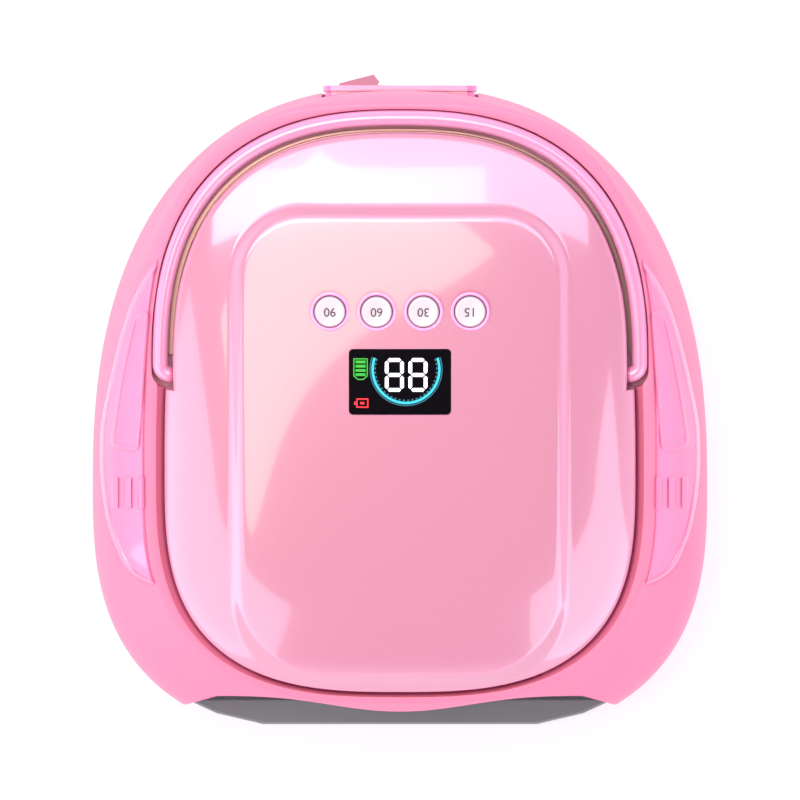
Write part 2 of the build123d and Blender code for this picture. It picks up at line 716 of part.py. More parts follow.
def channel_trim():
    """The rose-gold strip on the channel's floor, beside the cover."""
    low = channel_floor()
    cover_side = egg_prism(grown(COVER_BACK_EGG, TRIM_GAP), low - 1, low + TRIM_TALL + 1)
    outer = Egg(COVER_BACK_EGG.half_width + TRIM_WIDE_SIDE, COVER_BACK_EGG.back + TRIM_WIDE_BACK,
                COVER_BACK_EGG.front, COVER_BACK_EGG.widest,
                COVER_BACK_EGG.back_power, COVER_BACK_EGG.front_power)
    strip = egg_prism(outer, low, low + TRIM_TALL) - cover_side
    return DECK * (strip & behind(TRIM_END_V))


def handle_bail():
    """The carry handle: one bent bar with a round stub at each end for its pivots."""
    start = (-HANDLE_HALF_WIDTH + ELBOW_RADIUS, PIVOT_V)
    side_v = PIVOT_V + ELBOW_RADIUS
    centreline = Egg(HANDLE_HALF_WIDTH, HANDLE_BACK_V, -HANDLE_BACK_V, side_v, HANDLE_POWER, HANDLE_POWER)
    steps = 16
    bow = [egg_point(centreline, math.pi * (1 - step / steps)) for step in range(steps + 1)]
    path = Wire([
        JernArc(start, (-1, 0), ELBOW_RADIUS, -90).edge(),
        Spline(*bow, tangents=[(0, 1), (0, -1)]).edge(),
        JernArc((HANDLE_HALF_WIDTH, side_v), (0, -1), ELBOW_RADIUS, -90).edge(),
    ])
    section = Plane(origin=(*start, 0), x_dir=(0, 0, 1), z_dir=(-1, 0, 0)) * Ellipse(
        HANDLE_TALL / 2, HANDLE_WIDE / 2)
    bail = Pos(0, 0, HANDLE_H) * sweep(section, path=path)
    for side in (1, -1):
        low, high = sorted((side * STUB_END_X, side * (HANDLE_HALF_WIDTH - ELBOW_RADIUS + 1)))
        bail += along_x(STUB_RADIUS, low, high, PIVOT_V, HANDLE_H)
        groove_x = BUSH_INNER_X - CLIP_THICK / 2 - STUB_RUN_GAP
        bail -= clip_ring(side * groove_x, STUB_RADIUS + 1)
    return DECK * bail


def clip_ring(x, radius):
    """A flat ring around a stub, as wide as the groove it sits in."""
    half = CLIP_THICK / 2
    ring = along_x(radius, x - half, x + half, PIVOT_V, HANDLE_H)
    return ring - along_x(CLIP_GROOVE_RADIUS, x - 1, x + 1, PIVOT_V, HANDLE_H)


def handle_clips():
    """The retaining rings that keep the stubs in their bushes."""
    x = BUSH_INNER_X - CLIP_THICK / 2 - STUB_RUN_GAP
    return group([DECK * clip_ring(side * x, CLIP_RADIUS) for side in (1, -1)])


def handle_bushes():
    """The two plain bushes in the casing's ledge that the stubs turn in."""
    bushes = []
    for side in (1, -1):
        low, high = sorted((side * BUSH_INNER_X, side * BUSH_OUTER_X))
        bush = along_x(bush_radius(), low, high, PIVOT_V, HANDLE_H)
        bush -= along_x(STUB_RADIUS + STUB_RUN_GAP, low - 1, high + 1, PIVOT_V, HANDLE_H)
        bushes.append(DECK * bush)
    return group(bushes)


def roof_bead_places():
    return [(x, y) for x in ROOF_BEAD_X for y in ROOF_BEAD_Y]


def liner_body(by, low):
    """The liner's tunnel with its rounded back end, grown outwards by a wall."""
    tunnel = arch(by, FRONT_WALL_Y, LINER_BACK_Y + by)
    plan = block((-FAR, FRONT_WALL_Y, low), (FAR, FAR, FAR))
    tunnel &= plan
    half = MOUTH_HALF_WIDTH + by
    ends = RectangleRounded(2 * half, 4 * half, LINER_BACK_CORNER + by)
    rounded = Pos(0, LINER_BACK_Y + by - 2 * half, 0) * extrude(ends, FAR)
    return tunnel & rounded


def reflector_liner():
    """The white vault around the hand, with a hole for each lamp and a flange to stand on."""
    liner = liner_body(LINER_WALL, BASE_TOP_Z) - liner_body(0, BASE_TOP_Z - 1)
    flange = block((-LINER_FLANGE_X, FRONT_WALL_Y, BASE_TOP_Z),
                   (LINER_FLANGE_X, LINER_FLANGE_BACK_Y, BASE_TOP_Z + LINER_FLANGE_TALL))
    flange &= egg_prism(grown(BOTTOM_EGG, -SHELL_WALL - LINER_FLANGE_GAP), 0, 2 * BASE_TOP_Z)
    flange -= liner_body(0, BASE_TOP_Z - 1)
    liner += flange
    hole = BEAD_RADIUS + BEAD_HOLE_GAP
    for x, y in roof_bead_places():
        liner -= post(x, y, hole, MOUTH_TOP_Z - 1, MOUTH_TOP_Z + LINER_WALL + 1)
    for side in (1, -1):
        low, high = sorted((side * (MOUTH_HALF_WIDTH - 1), side * (MOUTH_HALF_WIDTH + LINER_WALL + 1)))
        for y in SIDE_BEAD_Y:
            liner -= along_x(hole, low, high, y, SIDE_BEAD_Z)
        liner -= post(side * SENSOR_X, SENSOR_Y, SENSOR_RADIUS + BEAD_HOLE_GAP,
                      MOUTH_TOP_Z - 1, MOUTH_TOP_Z + LINER_WALL + 1)
    for x, y in mirrored(LINER_SCREW_PLACES):
        liner -= post(x, y, SCREW_RADIUS + SCREW_GAP, 0, BASE_TOP_Z + LINER_FLANGE_TALL + 1)
    return liner


def liner_screws():
    """The screws that hold the liner's flange on the base frame, heads up."""
    seat = BASE_TOP_Z + LINER_FLANGE_TALL
    screws = []
    for x, y in mirrored(LINER_SCREW_PLACES):
        shank = post(x, y, SCREW_RADIUS, CASING_BOTTOM_Z + 1, seat)
        screws.append(shank + post(x, y, SCREW_HEAD_RADIUS, seat, seat + SCREW_HEAD_TALL))
    return group(screws)


def bead():
    """One lamp: a round package with a domed lens, pointing down from its board at height 0."""
    package = Pos(0, 0, -BEAD_TALL / 2) * Cylinder(BEAD_RADIUS, BEAD_TALL)
    lens = Pos(0, 0, -BEAD_LENS_DEPTH) * Sphere(BEAD_LENS_RADIUS)
    lens &= post(0, 0, BEAD_RADIUS, -BEAD_TALL - BEAD_LENS_RADIUS, -BEAD_TALL)
    return package + lens


def led_beads():
    """All the lamps: rows in the roof and a row in each side wall."""
    lamp = bead()
    roof_z = MOUTH_TOP_Z + LINER_WALL
    beads = [Pos(x, y, roof_z) * lamp for x, y in roof_bead_places()]
    wall_x = MOUTH_HALF_WIDTH + LINER_WALL
    for side in (1, -1):
        for y in SIDE_BEAD_Y:
            beads.append(Pos(side * wall_x, y, SIDE_BEAD_Z) * Rot(Y=side * 90) * lamp)
    return group(beads)


def led_roof_board():
    low = MOUTH_TOP_Z + LINER_WALL
    return block((-LED_BOARD_HALF_WIDTH, LED_BOARD_FRONT_Y, low),
                 (LED_BOARD_HALF_WIDTH, LED_BOARD_BACK_Y, low + BOARD_THICK))


def led_side_board(side):
    inner = MOUTH_HALF_WIDTH + LINER_WALL
    near, far = sorted((side * inner, side * (inner + BOARD_THICK)))
    return block((near, SIDE_BOARD_FRONT_Y, SIDE_BOARD_LOW_Z), (far, SIDE_BOARD_BACK_Y, SIDE_BOARD_HIGH_Z))


def hand_sensors():
    """The pair of infrared sensors that look for a hand in the mouth."""
    top = MOUTH_TOP_Z + LINER_WALL
    return group([post(side * SENSOR_X, SENSOR_Y, SENSOR_RADIUS, top - SENSOR_DROP, top) for side in (1, -1)])


def spreader_top():
    return MOUTH_TOP_Z + LINER_WALL + BOARD_THICK + SPREADER_THICK


def heat_spreader():
    half = LED_BOARD_HALF_WIDTH - SPREADER_INSET
    return block((-half, LED_BOARD_FRONT_Y + SPREADER_INSET, spreader_top() - SPREADER_THICK),
                 (half, LED_BOARD_BACK_Y - SPREADER_INSET, spreader_top()))


def cell_z():
    return spreader_top() + HOLDER_WALL + CELL_RADIUS


def battery_cells():
    half = CELL_LENGTH / 2
    return group([along_x(CELL_RADIUS, -half, half, y, cell_z()) for y in CELL_Y])


def battery_holder():
    """The open cradle that the cells lie in."""
    half = CELL_LENGTH / 2 + CELL_GAP + HOLDER_WALL
    reach = CELL_RADIUS + CELL_GAP + HOLDER_WALL
    holder = block((-half, CELL_Y[0] - reach, spreader_top()),
                   (half, CELL_Y[-1] + reach, spreader_top() + HOLDER_TALL))
    for y in CELL_Y:
        holder -= along_x(CELL_RADIUS + CELL_GAP, -half + HOLDER_WALL, half - HOLDER_WALL, y,
                          cell_z() + CELL_GAP)
    return holder


def base_frame():
    """The bottom plate with the slot and rails of the tray, open to the front."""
    plate = egg_prism(grown(BOTTOM_EGG, -SHELL_WALL - BASE_GAP), CASING_BOTTOM_Z, BASE_TOP_Z)
    plate &= block((-FAR, FRONT_WALL_Y, 0), (FAR, FAR, FAR))
    slot = MOUTH_HALF_WIDTH
    plate -= block((-slot, -FAR, RAIL_TOP_Z), (slot, SLOT_BACK_Y, FAR))
    plate -= block((-slot + RAIL_WIDE, -FAR, 0), (slot - RAIL_WIDE, SLOT_BACK_Y - RAIL_WIDE, FAR))
    for x, y in mirrored(FOOT_PLACES):
        plate -= post(x, y, FOOT_RADIUS + FOOT_GAP, 0, CASING_BOTTOM_Z + FOOT_SUNK)
    for x, y in mirrored(BASE_SCREW_PLACES):
        plate -= post(x, y, SCREW_HEAD_RADIUS + SCREW_GAP, 0, base_screw_seat())
        plate -= post(x, y, SCREW_RADIUS + SCREW_GAP, 0, FAR)
    for x, y in mirrored(LINER_SCREW_PLACES):
        plate -= post(x, y, SCREW_RADIUS + SCREW_GAP, CASING_BOTTOM_Z + 1, FAR)
    length, depth, _ = MAGNET_SIZE
    for side in (1, -1):
        plate -= block((side * MAGNET_X - length / 2, SLOT_BACK_Y - 1, RAIL_TOP_Z),
                       (side * MAGNET_X + length / 2, SLOT_BACK_Y + depth, FAR))
    for x, y in power_post_places():
        plate += post(x, y, POWER_POST_RADIUS, BASE_TOP_Z, POWER_BOARD_Z)
    return plate


def base_screw_seat():
    return CASING_BOTTOM_Z + SCREW_HEAD_TALL


def base_screws():
    """The screws from below that hold the base frame to the casing's bosses."""
    return group([screw_up(x, y, base_screw_seat(), BASE_SCREW_TOP_Z) for x, y in mirrored(BASE_SCREW_PLACES)])


def rubber_feet():
    top = CASING_BOTTOM_Z + FOOT_SUNK
    feet = []
    for x, y in mirrored(FOOT_PLACES):
        foot = post(x, y, FOOT_RADIUS, 0, top)
        feet.append(chamfer(foot.edges().group_by(Axis.Z)[0], FOOT_SUNK))
    return group(feet)


def tray_magnets():
    """The magnets in the base frame that hold the tray when it is pushed home."""
    length, depth, tall = MAGNET_SIZE
    return group([
        Pos(side * MAGNET_X, SLOT_BACK_Y + depth / 2, RAIL_TOP_Z + tall / 2) * Box(length, depth, tall)
        for side in (1, -1)])


def tray_half_width():
    return MOUTH_HALF_WIDTH - TRAY_GAP


def tray_back_y():
    return SLOT_BACK_Y - STRIKE_THICK - TRAY_GAP


def base_tray():
    """The grey tray under the hand: a flat plate with a thick front lip to pull it by."""
    half = tray_half_width()
    plate = block((-half, TRAY_LIP_BACK_Y, RAIL_TOP_Z), (half, tray_back_y(), RAIL_TOP_Z + TRAY_THICK))
    front = [(half, TRAY_LIP_BACK_Y), (half, TRAY_CORNER_Y), (TRAY_BULGE_X, TRAY_BULGE_Y),
             (TRAY_FLAT_X, TRAY_FRONT_Y)]
    outline = Polyline(*front, *[(-x, y) for x, y in reversed(front)], close=True)
    lip = Pos(0, 0, TRAY_LIP_BOTTOM_Z) * extrude(make_face(outline), TRAY_LIP_TOP_Z - TRAY_LIP_BOTTOM_Z)
    lip = chamfer(lip.edges().group_by(Axis.Z)[-1], TRAY_LIP_EDGE)
    return plate + lip


def tray_sheet():
    """The thin reflective sheet on the tray."""
    half = tray_half_width() - TRAY_SHEET_MARGIN
    low = RAIL_TOP_Z + TRAY_THICK
    return block((-half, TRAY_LIP_BACK_Y + TRAY_SHEET_MARGIN, low),
                 (half, tray_back_y() - TRAY_SHEET_MARGIN, low + TRAY_SHEET_THICK))


def tray_strikes():
    """The steel tabs on the tray's back edge that the magnets pull on."""
    length = MAGNET_SIZE[0]
    return group([
        block((side * MAGNET_X - length / 2, tray_back_y(), RAIL_TOP_Z),
              (side * MAGNET_X + length / 2, tray_back_y() + STRIKE_THICK, RAIL_TOP_Z + TRAY_THICK))
        for side in (1, -1)])


def rear_outline(inset, low, high):
    """The rear panel's rounded rectangle between two places along Y."""
    outline = RectangleRounded(2 * (REAR_HALF_WIDTH - inset), 2 * (REAR_HALF_TALL - inset), REAR_CORNER - inset)
    return Pos(0, high, REAR_CENTRE_Z) * Rot(X=90) * extrude(outline, high - low)


def rear_screw_places():
    return [(side * REAR_SCREW_X, REAR_CENTRE_Z + up * REAR_SCREW_Z) for side in (1, -1) for up in (1, -1)]


def rear_panel():
    """The flat plate at the back with a raised bead around it."""
    panel = rear_outline(REAR_PLATE_INSET, REAR_SEAT_Y, REAR_PLATE_Y)
    bead_ring = rear_outline(0, REAR_PLATE_Y, REAR_BEAD_Y)
    panel += bead_ring - rear_outline(REAR_BEAD_WALL, REAR_PLATE_Y, REAR_BEAD_Y)
    panel -= block(
        (ROCKER_X - SWITCH_BODY_HALF_WIDTH, 0, REAR_CENTRE_Z - SWITCH_BODY_HALF_TALL),
        (ROCKER_X + SWITCH_BODY_HALF_WIDTH, FAR, REAR_CENTRE_Z + SWITCH_BODY_HALF_TALL))
    panel -= along_y(SOCKET_BODY_RADIUS + SOCKET_GAP, 0, FAR, SOCKET_X, REAR_CENTRE_Z)
    for x, z in rear_screw_places():
        panel -= along_y(SCREW_RADIUS + SCREW_GAP, 0, FAR, x, z)
    return panel


def rear_screws():
    screws = []
    for x, z in rear_screw_places():
        shank = along_y(SCREW_RADIUS, REAR_SEAT_Y - REAR_SCREW_DEEP + 1, REAR_PLATE_Y, x, z)
        head = along_y(SCREW_HEAD_RADIUS, REAR_PLATE_Y, REAR_PLATE_Y + SCREW_HEAD_TALL, x, z)
        screws.append(shank + head)
    return group(screws)


def rocker_cheek():
    """The plan of the rocker about its pivot, before it is tilted."""
    return Polyline(
        (-ROCKER_END_X, ROCKER_END_Y), (-ROCKER_HALF_LENGTH, ROCKER_ARM),
        (ROCKER_HALF_LENGTH, ROCKER_ARM), (ROCKER_END_X, ROCKER_END_Y),
        (ROCKER_ROOT, -ROCKER_ROOT), (-ROCKER_ROOT, -ROCKER_ROOT), close=True)


def rocker_paddle():
    """The rocker, pressed in on its left side so that its right end stands out."""
    half = ROCKER_TALL / 2
    paddle = Pos(0, 0, -half) * extrude(make_face(rocker_cheek()), ROCKER_TALL)
    paddle += Cylinder(ROCKER_PIN_RADIUS, ROCKER_TALL + 2 * ROCKER_PIN_REACH)
    return Pos(ROCKER_X, ROCKER_PIVOT_Y, REAR_CENTRE_Z) * Rot(Z=ROCKER_TILT) * paddle


def rocker_housing():
    """The switch body: a bezel on the rear panel, a well for the rocker and two tabs behind."""
    x, z = ROCKER_X, REAR_CENTRE_Z
    body = block((x - SWITCH_BODY_HALF_WIDTH, SWITCH_BODY_BACK_Y, z - SWITCH_BODY_HALF_TALL),
                 (x + SWITCH_BODY_HALF_WIDTH, BEZEL_Y, z + SWITCH_BODY_HALF_TALL))
    body += block((x - BEZEL_HALF_WIDTH, REAR_PLATE_Y, z - BEZEL_HALF_TALL),
                  (x + BEZEL_HALF_WIDTH, BEZEL_Y, z + BEZEL_HALF_TALL))
    half_tall = ROCKER_TALL / 2 + ROCKER_GAP
    body -= block((x - SWITCH_WELL_HALF_WIDTH, SWITCH_WELL_Y, z - half_tall),
                  (x + SWITCH_WELL_HALF_WIDTH, FAR, z + half_tall))
    pin_half = ROCKER_TALL / 2 + ROCKER_PIN_REACH + ROCKER_GAP
    body -= Pos(x, ROCKER_PIVOT_Y, z) * Cylinder(ROCKER_PIN_RADIUS + ROCKER_PIN_GAP, 2 * pin_half)
    for side in (1, -1):
        tab_x = x + side * SWITCH_TAB_LENGTH
        body += block((tab_x - 0.4, SWITCH_BODY_BACK_Y - SWITCH_TAB_LENGTH, z - 2),
                      (tab_x + 0.4, SWITCH_BODY_BACK_Y, z + 2))
    return body


def charging_socket():
    """The round barrel socket: a flange outside, a threaded body and a centre pin."""
    z = REAR_CENTRE_Z
    socket = along_y(SOCKET_BODY_RADIUS, SOCKET_BACK_Y, SOCKET_FLANGE_Y, SOCKET_X, z)
    socket += along_y(SOCKET_FLANGE_RADIUS, REAR_PLATE_Y, SOCKET_FLANGE_Y, SOCKET_X, z)
    floor = SOCKET_FLANGE_Y - SOCKET_BORE_DEPTH
    socket -= along_y(SOCKET_BORE_RADIUS, floor, FAR, SOCKET_X, z)
    socket += along_y(SOCKET_PIN_RADIUS, floor, SOCKET_FLANGE_Y - SOCKET_PIN_SHORT, SOCKET_X, z)
    return socket


def socket_nut():
    """The hexagon nut that clamps the socket from inside."""
    hexagon = RegularPolygon(SOCKET_NUT_RADIUS, 6)
    nut = Pos(SOCKET_X, SOCKET_NUT_FACE_Y, REAR_CENTRE_Z) * Rot(X=90) * extrude(hexagon, SOCKET_NUT_THICK)
    return nut - along_y(SOCKET_BODY_RADIUS + SCREW_GAP, 0, FAR, SOCKET_X, REAR_CENTRE_Z)


def power_post_places():
    x = POWER_BOARD_HALF_WIDTH - BOARD_POST_INSET
    y = (POWER_BOARD_FRONT_Y + POWER_BOARD_BACK_Y) / 2
    return [(x, y), (-x, y)]


def power_board():
    """The charging board on its two posts, with a plug for the battery lead."""
    top = POWER_BOARD_Z + BOARD_THICK
    board = block((-POWER_BOARD_HALF_WIDTH, POWER_BOARD_FRONT_Y, POWER_BOARD_Z),
                  (POWER_BOARD_HALF_WIDTH, POWER_BOARD_BACK_Y, top))
    plug_wide, plug_deep, plug_tall = POWER_PLUG_SIZE
    middle = (POWER_BOARD_FRONT_Y + POWER_BOARD_BACK_Y) / 2
    return board + block((-plug_wide / 2, middle - plug_deep / 2, top),
                         (plug_wide / 2, middle + plug_deep / 2, top + plug_tall))


PIECES = {
    "outer_shell": outer_shell(),
    "deck_carrier": deck_carrier(),
    "visor_cover": visor_cover(),
    "left_side_panel": side_panel(-1),
    "right_side_panel": side_panel(1),
    "channel_trim": channel_trim(),
    "display_window": display_window(),
    "display_module": display_module(),
    "key_rings": key_rings(),
    **key_caps(),
    "key_switches": key_switches(),
    "control_board": control_board(),
    "board_screws": board_screws(),
    "cover_screws": cover_screws(),
    "handle_bail": handle_bail(),
    "handle_clips": handle_clips(),
    "handle_bushes": handle_bushes(),
    "reflector_liner": reflector_liner(),
    "liner_screws": liner_screws(),
    "led_beads": led_beads(),
    "led_roof_board": led_roof_board(),
    "led_left_board": led_side_board(-1),
    "led_right_board": led_side_board(1),
    "hand_sensors": hand_sensors(),
    "heat_spreader": heat_spreader(),
    "battery_cells": battery_cells(),
    "battery_holder": battery_holder(),
    "base_frame": base_frame(),
    "base_screws": base_screws(),
    "rubber_feet": rubber_feet(),
    "tray_magnets": tray_magnets(),
    "base_tray": base_tray(),
    "tray_sheet": tray_sheet(),
    "tray_strikes": tray_strikes(),
    "rear_panel": rear_panel(),
    "rear_screws": rear_screws(),
    "rocker_paddle": rocker_paddle(),
    "rocker_housing": rocker_housing(),
    "charging_socket": charging_socket(),
    "socket_nut": socket_nut(),
    "power_board": power_board(),
}

os.makedirs("parts", exist_ok=True)
for name, piece in PIECES.items():
    export_step(piece, f"parts/{name}.step")
    print(name, "volume", round(piece.volume, 1))
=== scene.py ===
# %% [markdown]
# A cordless nail lamp seen from above. Its casing and its domed cover are glossy ABS with a pearl
# lacquer, so nearly all that the eye reads is reflection. Such surfaces show every facet, and so the
# big glossy pieces are made here as dense meshes from the same formulas as the CAD solids, while plain
# inner pieces keep their solids and only get a finish.

# %% Load the frame
import math
import bmesh
import bpy
import numpy as np
from mathutils import Matrix, Quaternion, Vector


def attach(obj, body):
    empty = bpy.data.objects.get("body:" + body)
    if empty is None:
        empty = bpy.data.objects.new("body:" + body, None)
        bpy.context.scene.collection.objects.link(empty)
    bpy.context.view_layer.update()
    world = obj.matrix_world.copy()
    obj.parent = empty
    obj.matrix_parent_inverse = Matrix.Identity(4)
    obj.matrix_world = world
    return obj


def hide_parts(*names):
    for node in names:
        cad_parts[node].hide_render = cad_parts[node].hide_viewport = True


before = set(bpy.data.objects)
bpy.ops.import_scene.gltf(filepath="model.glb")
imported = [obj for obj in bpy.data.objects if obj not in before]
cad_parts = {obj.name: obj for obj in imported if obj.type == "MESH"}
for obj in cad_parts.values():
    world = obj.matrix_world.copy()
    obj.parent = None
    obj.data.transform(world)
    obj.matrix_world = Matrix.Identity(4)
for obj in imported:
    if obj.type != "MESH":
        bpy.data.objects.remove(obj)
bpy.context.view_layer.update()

# %% [markdown]
# Every outline on this lamp is an egg: two halves of a superellipse that meet at the widest line. One
# function gives its points, so the casing, the cover, the channel and the handle all follow from a few
# numbers each.

# %% Egg outlines and the tilted deck
MM = 0.001
DECK_TILT = math.radians(7.0)
DECK_Z = 72.0
DECK_COS = math.cos(DECK_TILT)
DECK_SIN = math.sin(DECK_TILT)
CENTRE_V = -20.0
TURNS = np.linspace(0, 2 * math.pi, 1440, endpoint=False)
PHI = np.linspace(-math.pi, math.pi, 480, endpoint=False)


def egg_points(egg, turns=TURNS):
    """Points of an outline: half width, back, front, widest line, and the powers of its halves."""
    half_width, back, front, widest, back_power, front_power = egg
    across, along = np.cos(turns), np.sin(turns)
    power = np.where(along >= 0, back_power, front_power)
    reach = np.where(along >= 0, back - widest, widest - front)
    x = half_width * np.sign(across) * np.abs(across) ** (2 / power)
    y = widest + reach * np.sign(along) * np.abs(along) ** (2 / power)
    return x, y


def grown(egg, by):
    return (egg[0] + by, egg[1] + by, egg[2] - by, *egg[3:])


def on_deck(u, v, h):
    """World place of a point given in the tilted deck's own coordinates."""
    return np.stack([u + 0 * v, v * DECK_COS - h * DECK_SIN, DECK_Z + v * DECK_SIN + h * DECK_COS], axis=-1)


def by_phi(x, y, z, phis):
    """Resamples a closed ring at the given polar angles around the middle of the deck."""
    angle = np.arctan2(y - CENTRE_V, x)
    order = np.argsort(angle)
    angle = angle[order]
    columns = [np.interp(phis, angle, values[order], period=2 * math.pi) for values in (x, y, z)]
    return np.stack(columns, axis=-1)


# %% [markdown]
# The casing's side bulges: five egg outlines at rising heights carry it, and a natural cubic spline
# through their numbers gives every outline between them. The planes of the upper outlines tilt with the
# deck.

# %% The casing's surface
SEAT_H = -2.0
CREST_H = 2.0
LEVEL_Z = np.array([2.0, 26.0, 50.0, 65.548, 73.985])
CREST_Z = LEVEL_Z[-1]
# one row per level: shift along the lamp, tilt in degrees, then the six numbers of its egg
LEVELS = np.array([
    [0.0, 0.0, 111.0, 113.5, -125.0, -31.6, 2.4, 2.8],
    [0.0, 0.0, 115.0, 117.2, -129.0, -31.6, 2.4, 2.8],
    [0.0, 3.5, 111.2, 115.2, -124.5, -31.6, 2.4, 2.8],
    [0.792, 7.0, 103.4, 113.0, -119.0, -31.0, 2.7, 2.8],
    [-0.244, 7.0, 94.6, 110.8, -113.4, -30.0, 3.3, 2.85],
])


def natural_spline(knots, values, at):
    """Natural cubic spline through rows of values."""
    gaps = np.diff(knots)
    count = len(knots)
    matrix = np.eye(count)
    right = np.zeros_like(values)
    for i in range(1, count - 1):
        matrix[i, i - 1:i + 2] = gaps[i - 1], 2 * (gaps[i - 1] + gaps[i]), gaps[i]
        right[i] = 3 * ((values[i + 1] - values[i]) / gaps[i] - (values[i] - values[i - 1]) / gaps[i - 1])
    bend = np.linalg.solve(matrix, right)
    i = int(np.clip(np.searchsorted(knots, at) - 1, 0, count - 2))
    step = at - knots[i]
    slope = (values[i + 1] - values[i]) / gaps[i] - gaps[i] * (2 * bend[i] + bend[i + 1]) / 3
    cubic = (bend[i + 1] - bend[i]) / (3 * gaps[i])
    return values[i] + slope * step + bend[i] * step ** 2 + cubic * step ** 3


def casing_ring(z, grow=0.0, phis=PHI):
    """One closed ring of the casing's surface, grown outwards by a distance."""
    shift, tilt, *egg = natural_spline(LEVEL_Z, LEVELS, z)
    x, y = egg_points(grown(tuple(egg), grow))
    tilt = math.radians(tilt)
    return by_phi(x, shift + y * math.cos(tilt), z + y * math.sin(tilt), phis)


print("belly ring spans", np.ptp(casing_ring(LEVEL_Z[1]), axis=0).round(1), "mm")

# %% [markdown]
# Meshes here are stacks of rings. A small helper joins them with quads, closes the ends if asked,
# shades them smooth and marks the edges that are sharp on the real moulding.

# %% Mesh helpers
MERGE_M, NEEDLE_M = 1e-6, 1e-7


def object_from(name, verts, faces, sharp=40.0):
    mesh = bpy.data.meshes.new(name)
    mesh.from_pydata([tuple(point) for point in np.asarray(verts) * MM], [], faces)
    mesh.validate()
    made = bpy.data.objects.new(name, mesh)
    bpy.context.scene.collection.objects.link(made)
    tidy(made, sharp)
    return made


def tidy(made, sharp=40.0):
    """Outward normals, smooth faces and sharp edges by angle."""
    work = bmesh.new()
    work.from_mesh(made.data)
    bmesh.ops.remove_doubles(work, verts=work.verts, dist=MERGE_M)
    bmesh.ops.dissolve_degenerate(work, edges=work.edges, dist=NEEDLE_M)
    bmesh.ops.recalc_face_normals(work, faces=work.faces)
    work.to_mesh(made.data)
    work.free()
    made.data.polygons.foreach_set("use_smooth", [True] * len(made.data.polygons))
    made.data.set_sharp_from_angle(angle=math.radians(sharp))


def ring_stack(name, rings, join_ends=False, sharp=40.0):
    """A closed skin over rings of equal length: capped at both ends, or joined end to end."""
    count = len(rings[0])
    verts = np.concatenate(rings)
    faces = []
    steps = len(rings) if join_ends else len(rings) - 1
    for i in range(steps):
        low, high = i * count, ((i + 1) % len(rings)) * count
        for j in range(count):
            k = (j + 1) % count
            faces.append((low + j, low + k, high + k, high + j))
    if not join_ends:
        faces.append(tuple(reversed(range(count))))
        faces.append(tuple(range((len(rings) - 1) * count, len(rings) * count)))
    return object_from(name, verts, faces, sharp)


def prism(name, outline, low, high):
    """An outline in plan, given in mm, extruded between two heights."""
    outline = np.asarray(outline, float)
    rings = [np.column_stack([outline, np.full(len(outline), z)]) for z in (low, high)]
    return ring_stack(name, rings)


def cut(target, cutters, sharp=40.0):
    """Cuts a mesh with others for good and removes them."""
    for cutter in cutters:
        step = target.modifiers.new("cut", "BOOLEAN")
        step.operation = "DIFFERENCE"
        step.solver = "EXACT"
        step.object = cutter
        with bpy.context.temp_override(object=target, active_object=target):
            bpy.ops.object.modifier_apply(modifier=step.name)
        bpy.data.objects.remove(cutter)
    tidy(target, sharp)


def set_apart(made, body, material, slot, *nodes):
    """Gives a piece its finish, its body and the CAD nodes that it stands for."""
    made.data.materials.clear()
    made.data.materials.append(material)
    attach(made, body)
    if nodes:
        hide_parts(*nodes)


# %% [markdown]
# Colours are written as the sRGB hex values one reads off a swatch, and one function turns them to the
# linear numbers that the renderer works in. One more function adds a shader node with its settings and
# links.

# %% Colour and node helpers
def linear(hex_code):
    """The renderer's linear numbers for an sRGB hex value, with full opacity."""
    parts = [int(hex_code[i:i + 2], 16) / 255 for i in (1, 3, 5)]
    return (*[c / 12.92 if c <= 0.04045 else ((c + 0.055) / 1.055) ** 2.4 for c in parts], 1.0)


def add_node(material, kind, links=(), **settings):
    """Adds a node; links map an input to an output, settings set inputs or properties by name."""
    made = material.node_tree.nodes.new(kind)
    for name, value in settings.items():
        label = name.replace("_", " ")
        if label in made.inputs:
            made.inputs[label].default_value = value
        else:
            setattr(made, name, value)
    for socket, source in dict(links).items():
        link(material, source, made, socket)
    return made


def link(material, source, node, socket):
    material.node_tree.links.new(source, node.inputs[socket])


def shaded(name, **settings):
    """A material and its one surface shader."""
    material = bpy.data.materials.new(name)
    material.use_nodes = True
    shader = material.node_tree.nodes["Principled BSDF"]
    for label, value in settings.items():
        shader.inputs[label.replace("_", " ")].default_value = value
    return material, shader


# %% [markdown]
# The casing and the cover are ABS under a pearl lacquer. Mica flakes in the lacquer lean the colour
# towards lavender where the surface turns away from the eye, and the clear top coat gives the hard
# reflections. A Layer Weight drives that lean, a fine noise the flakes, and a coarser one the orange
# peel of sprayed lacquer.

# %% Pearl lacquer
# painted shade: an ambient occlusion node darkens the colour towards the crease shade colour in creases and
# seams
CREASE_MM, CREASE_SHADE_COLOUR = 1.6, "#A8486E"
CREASE_SHUT, CREASE_OPEN = 0.35, 0.95
FLAKE_MM, FLAKE_DARK, FLAKE_LIGHT = 0.7, 0.96, 1.04
PEEL_WIDE_MM, PEEL_DEEP_MM, PEEL_STRENGTH = 6.0, 0.2, 0.01
LEAN_BLEND, LACQUER_IOR, ABS_IOR = 0.3, 1.6, 1.55


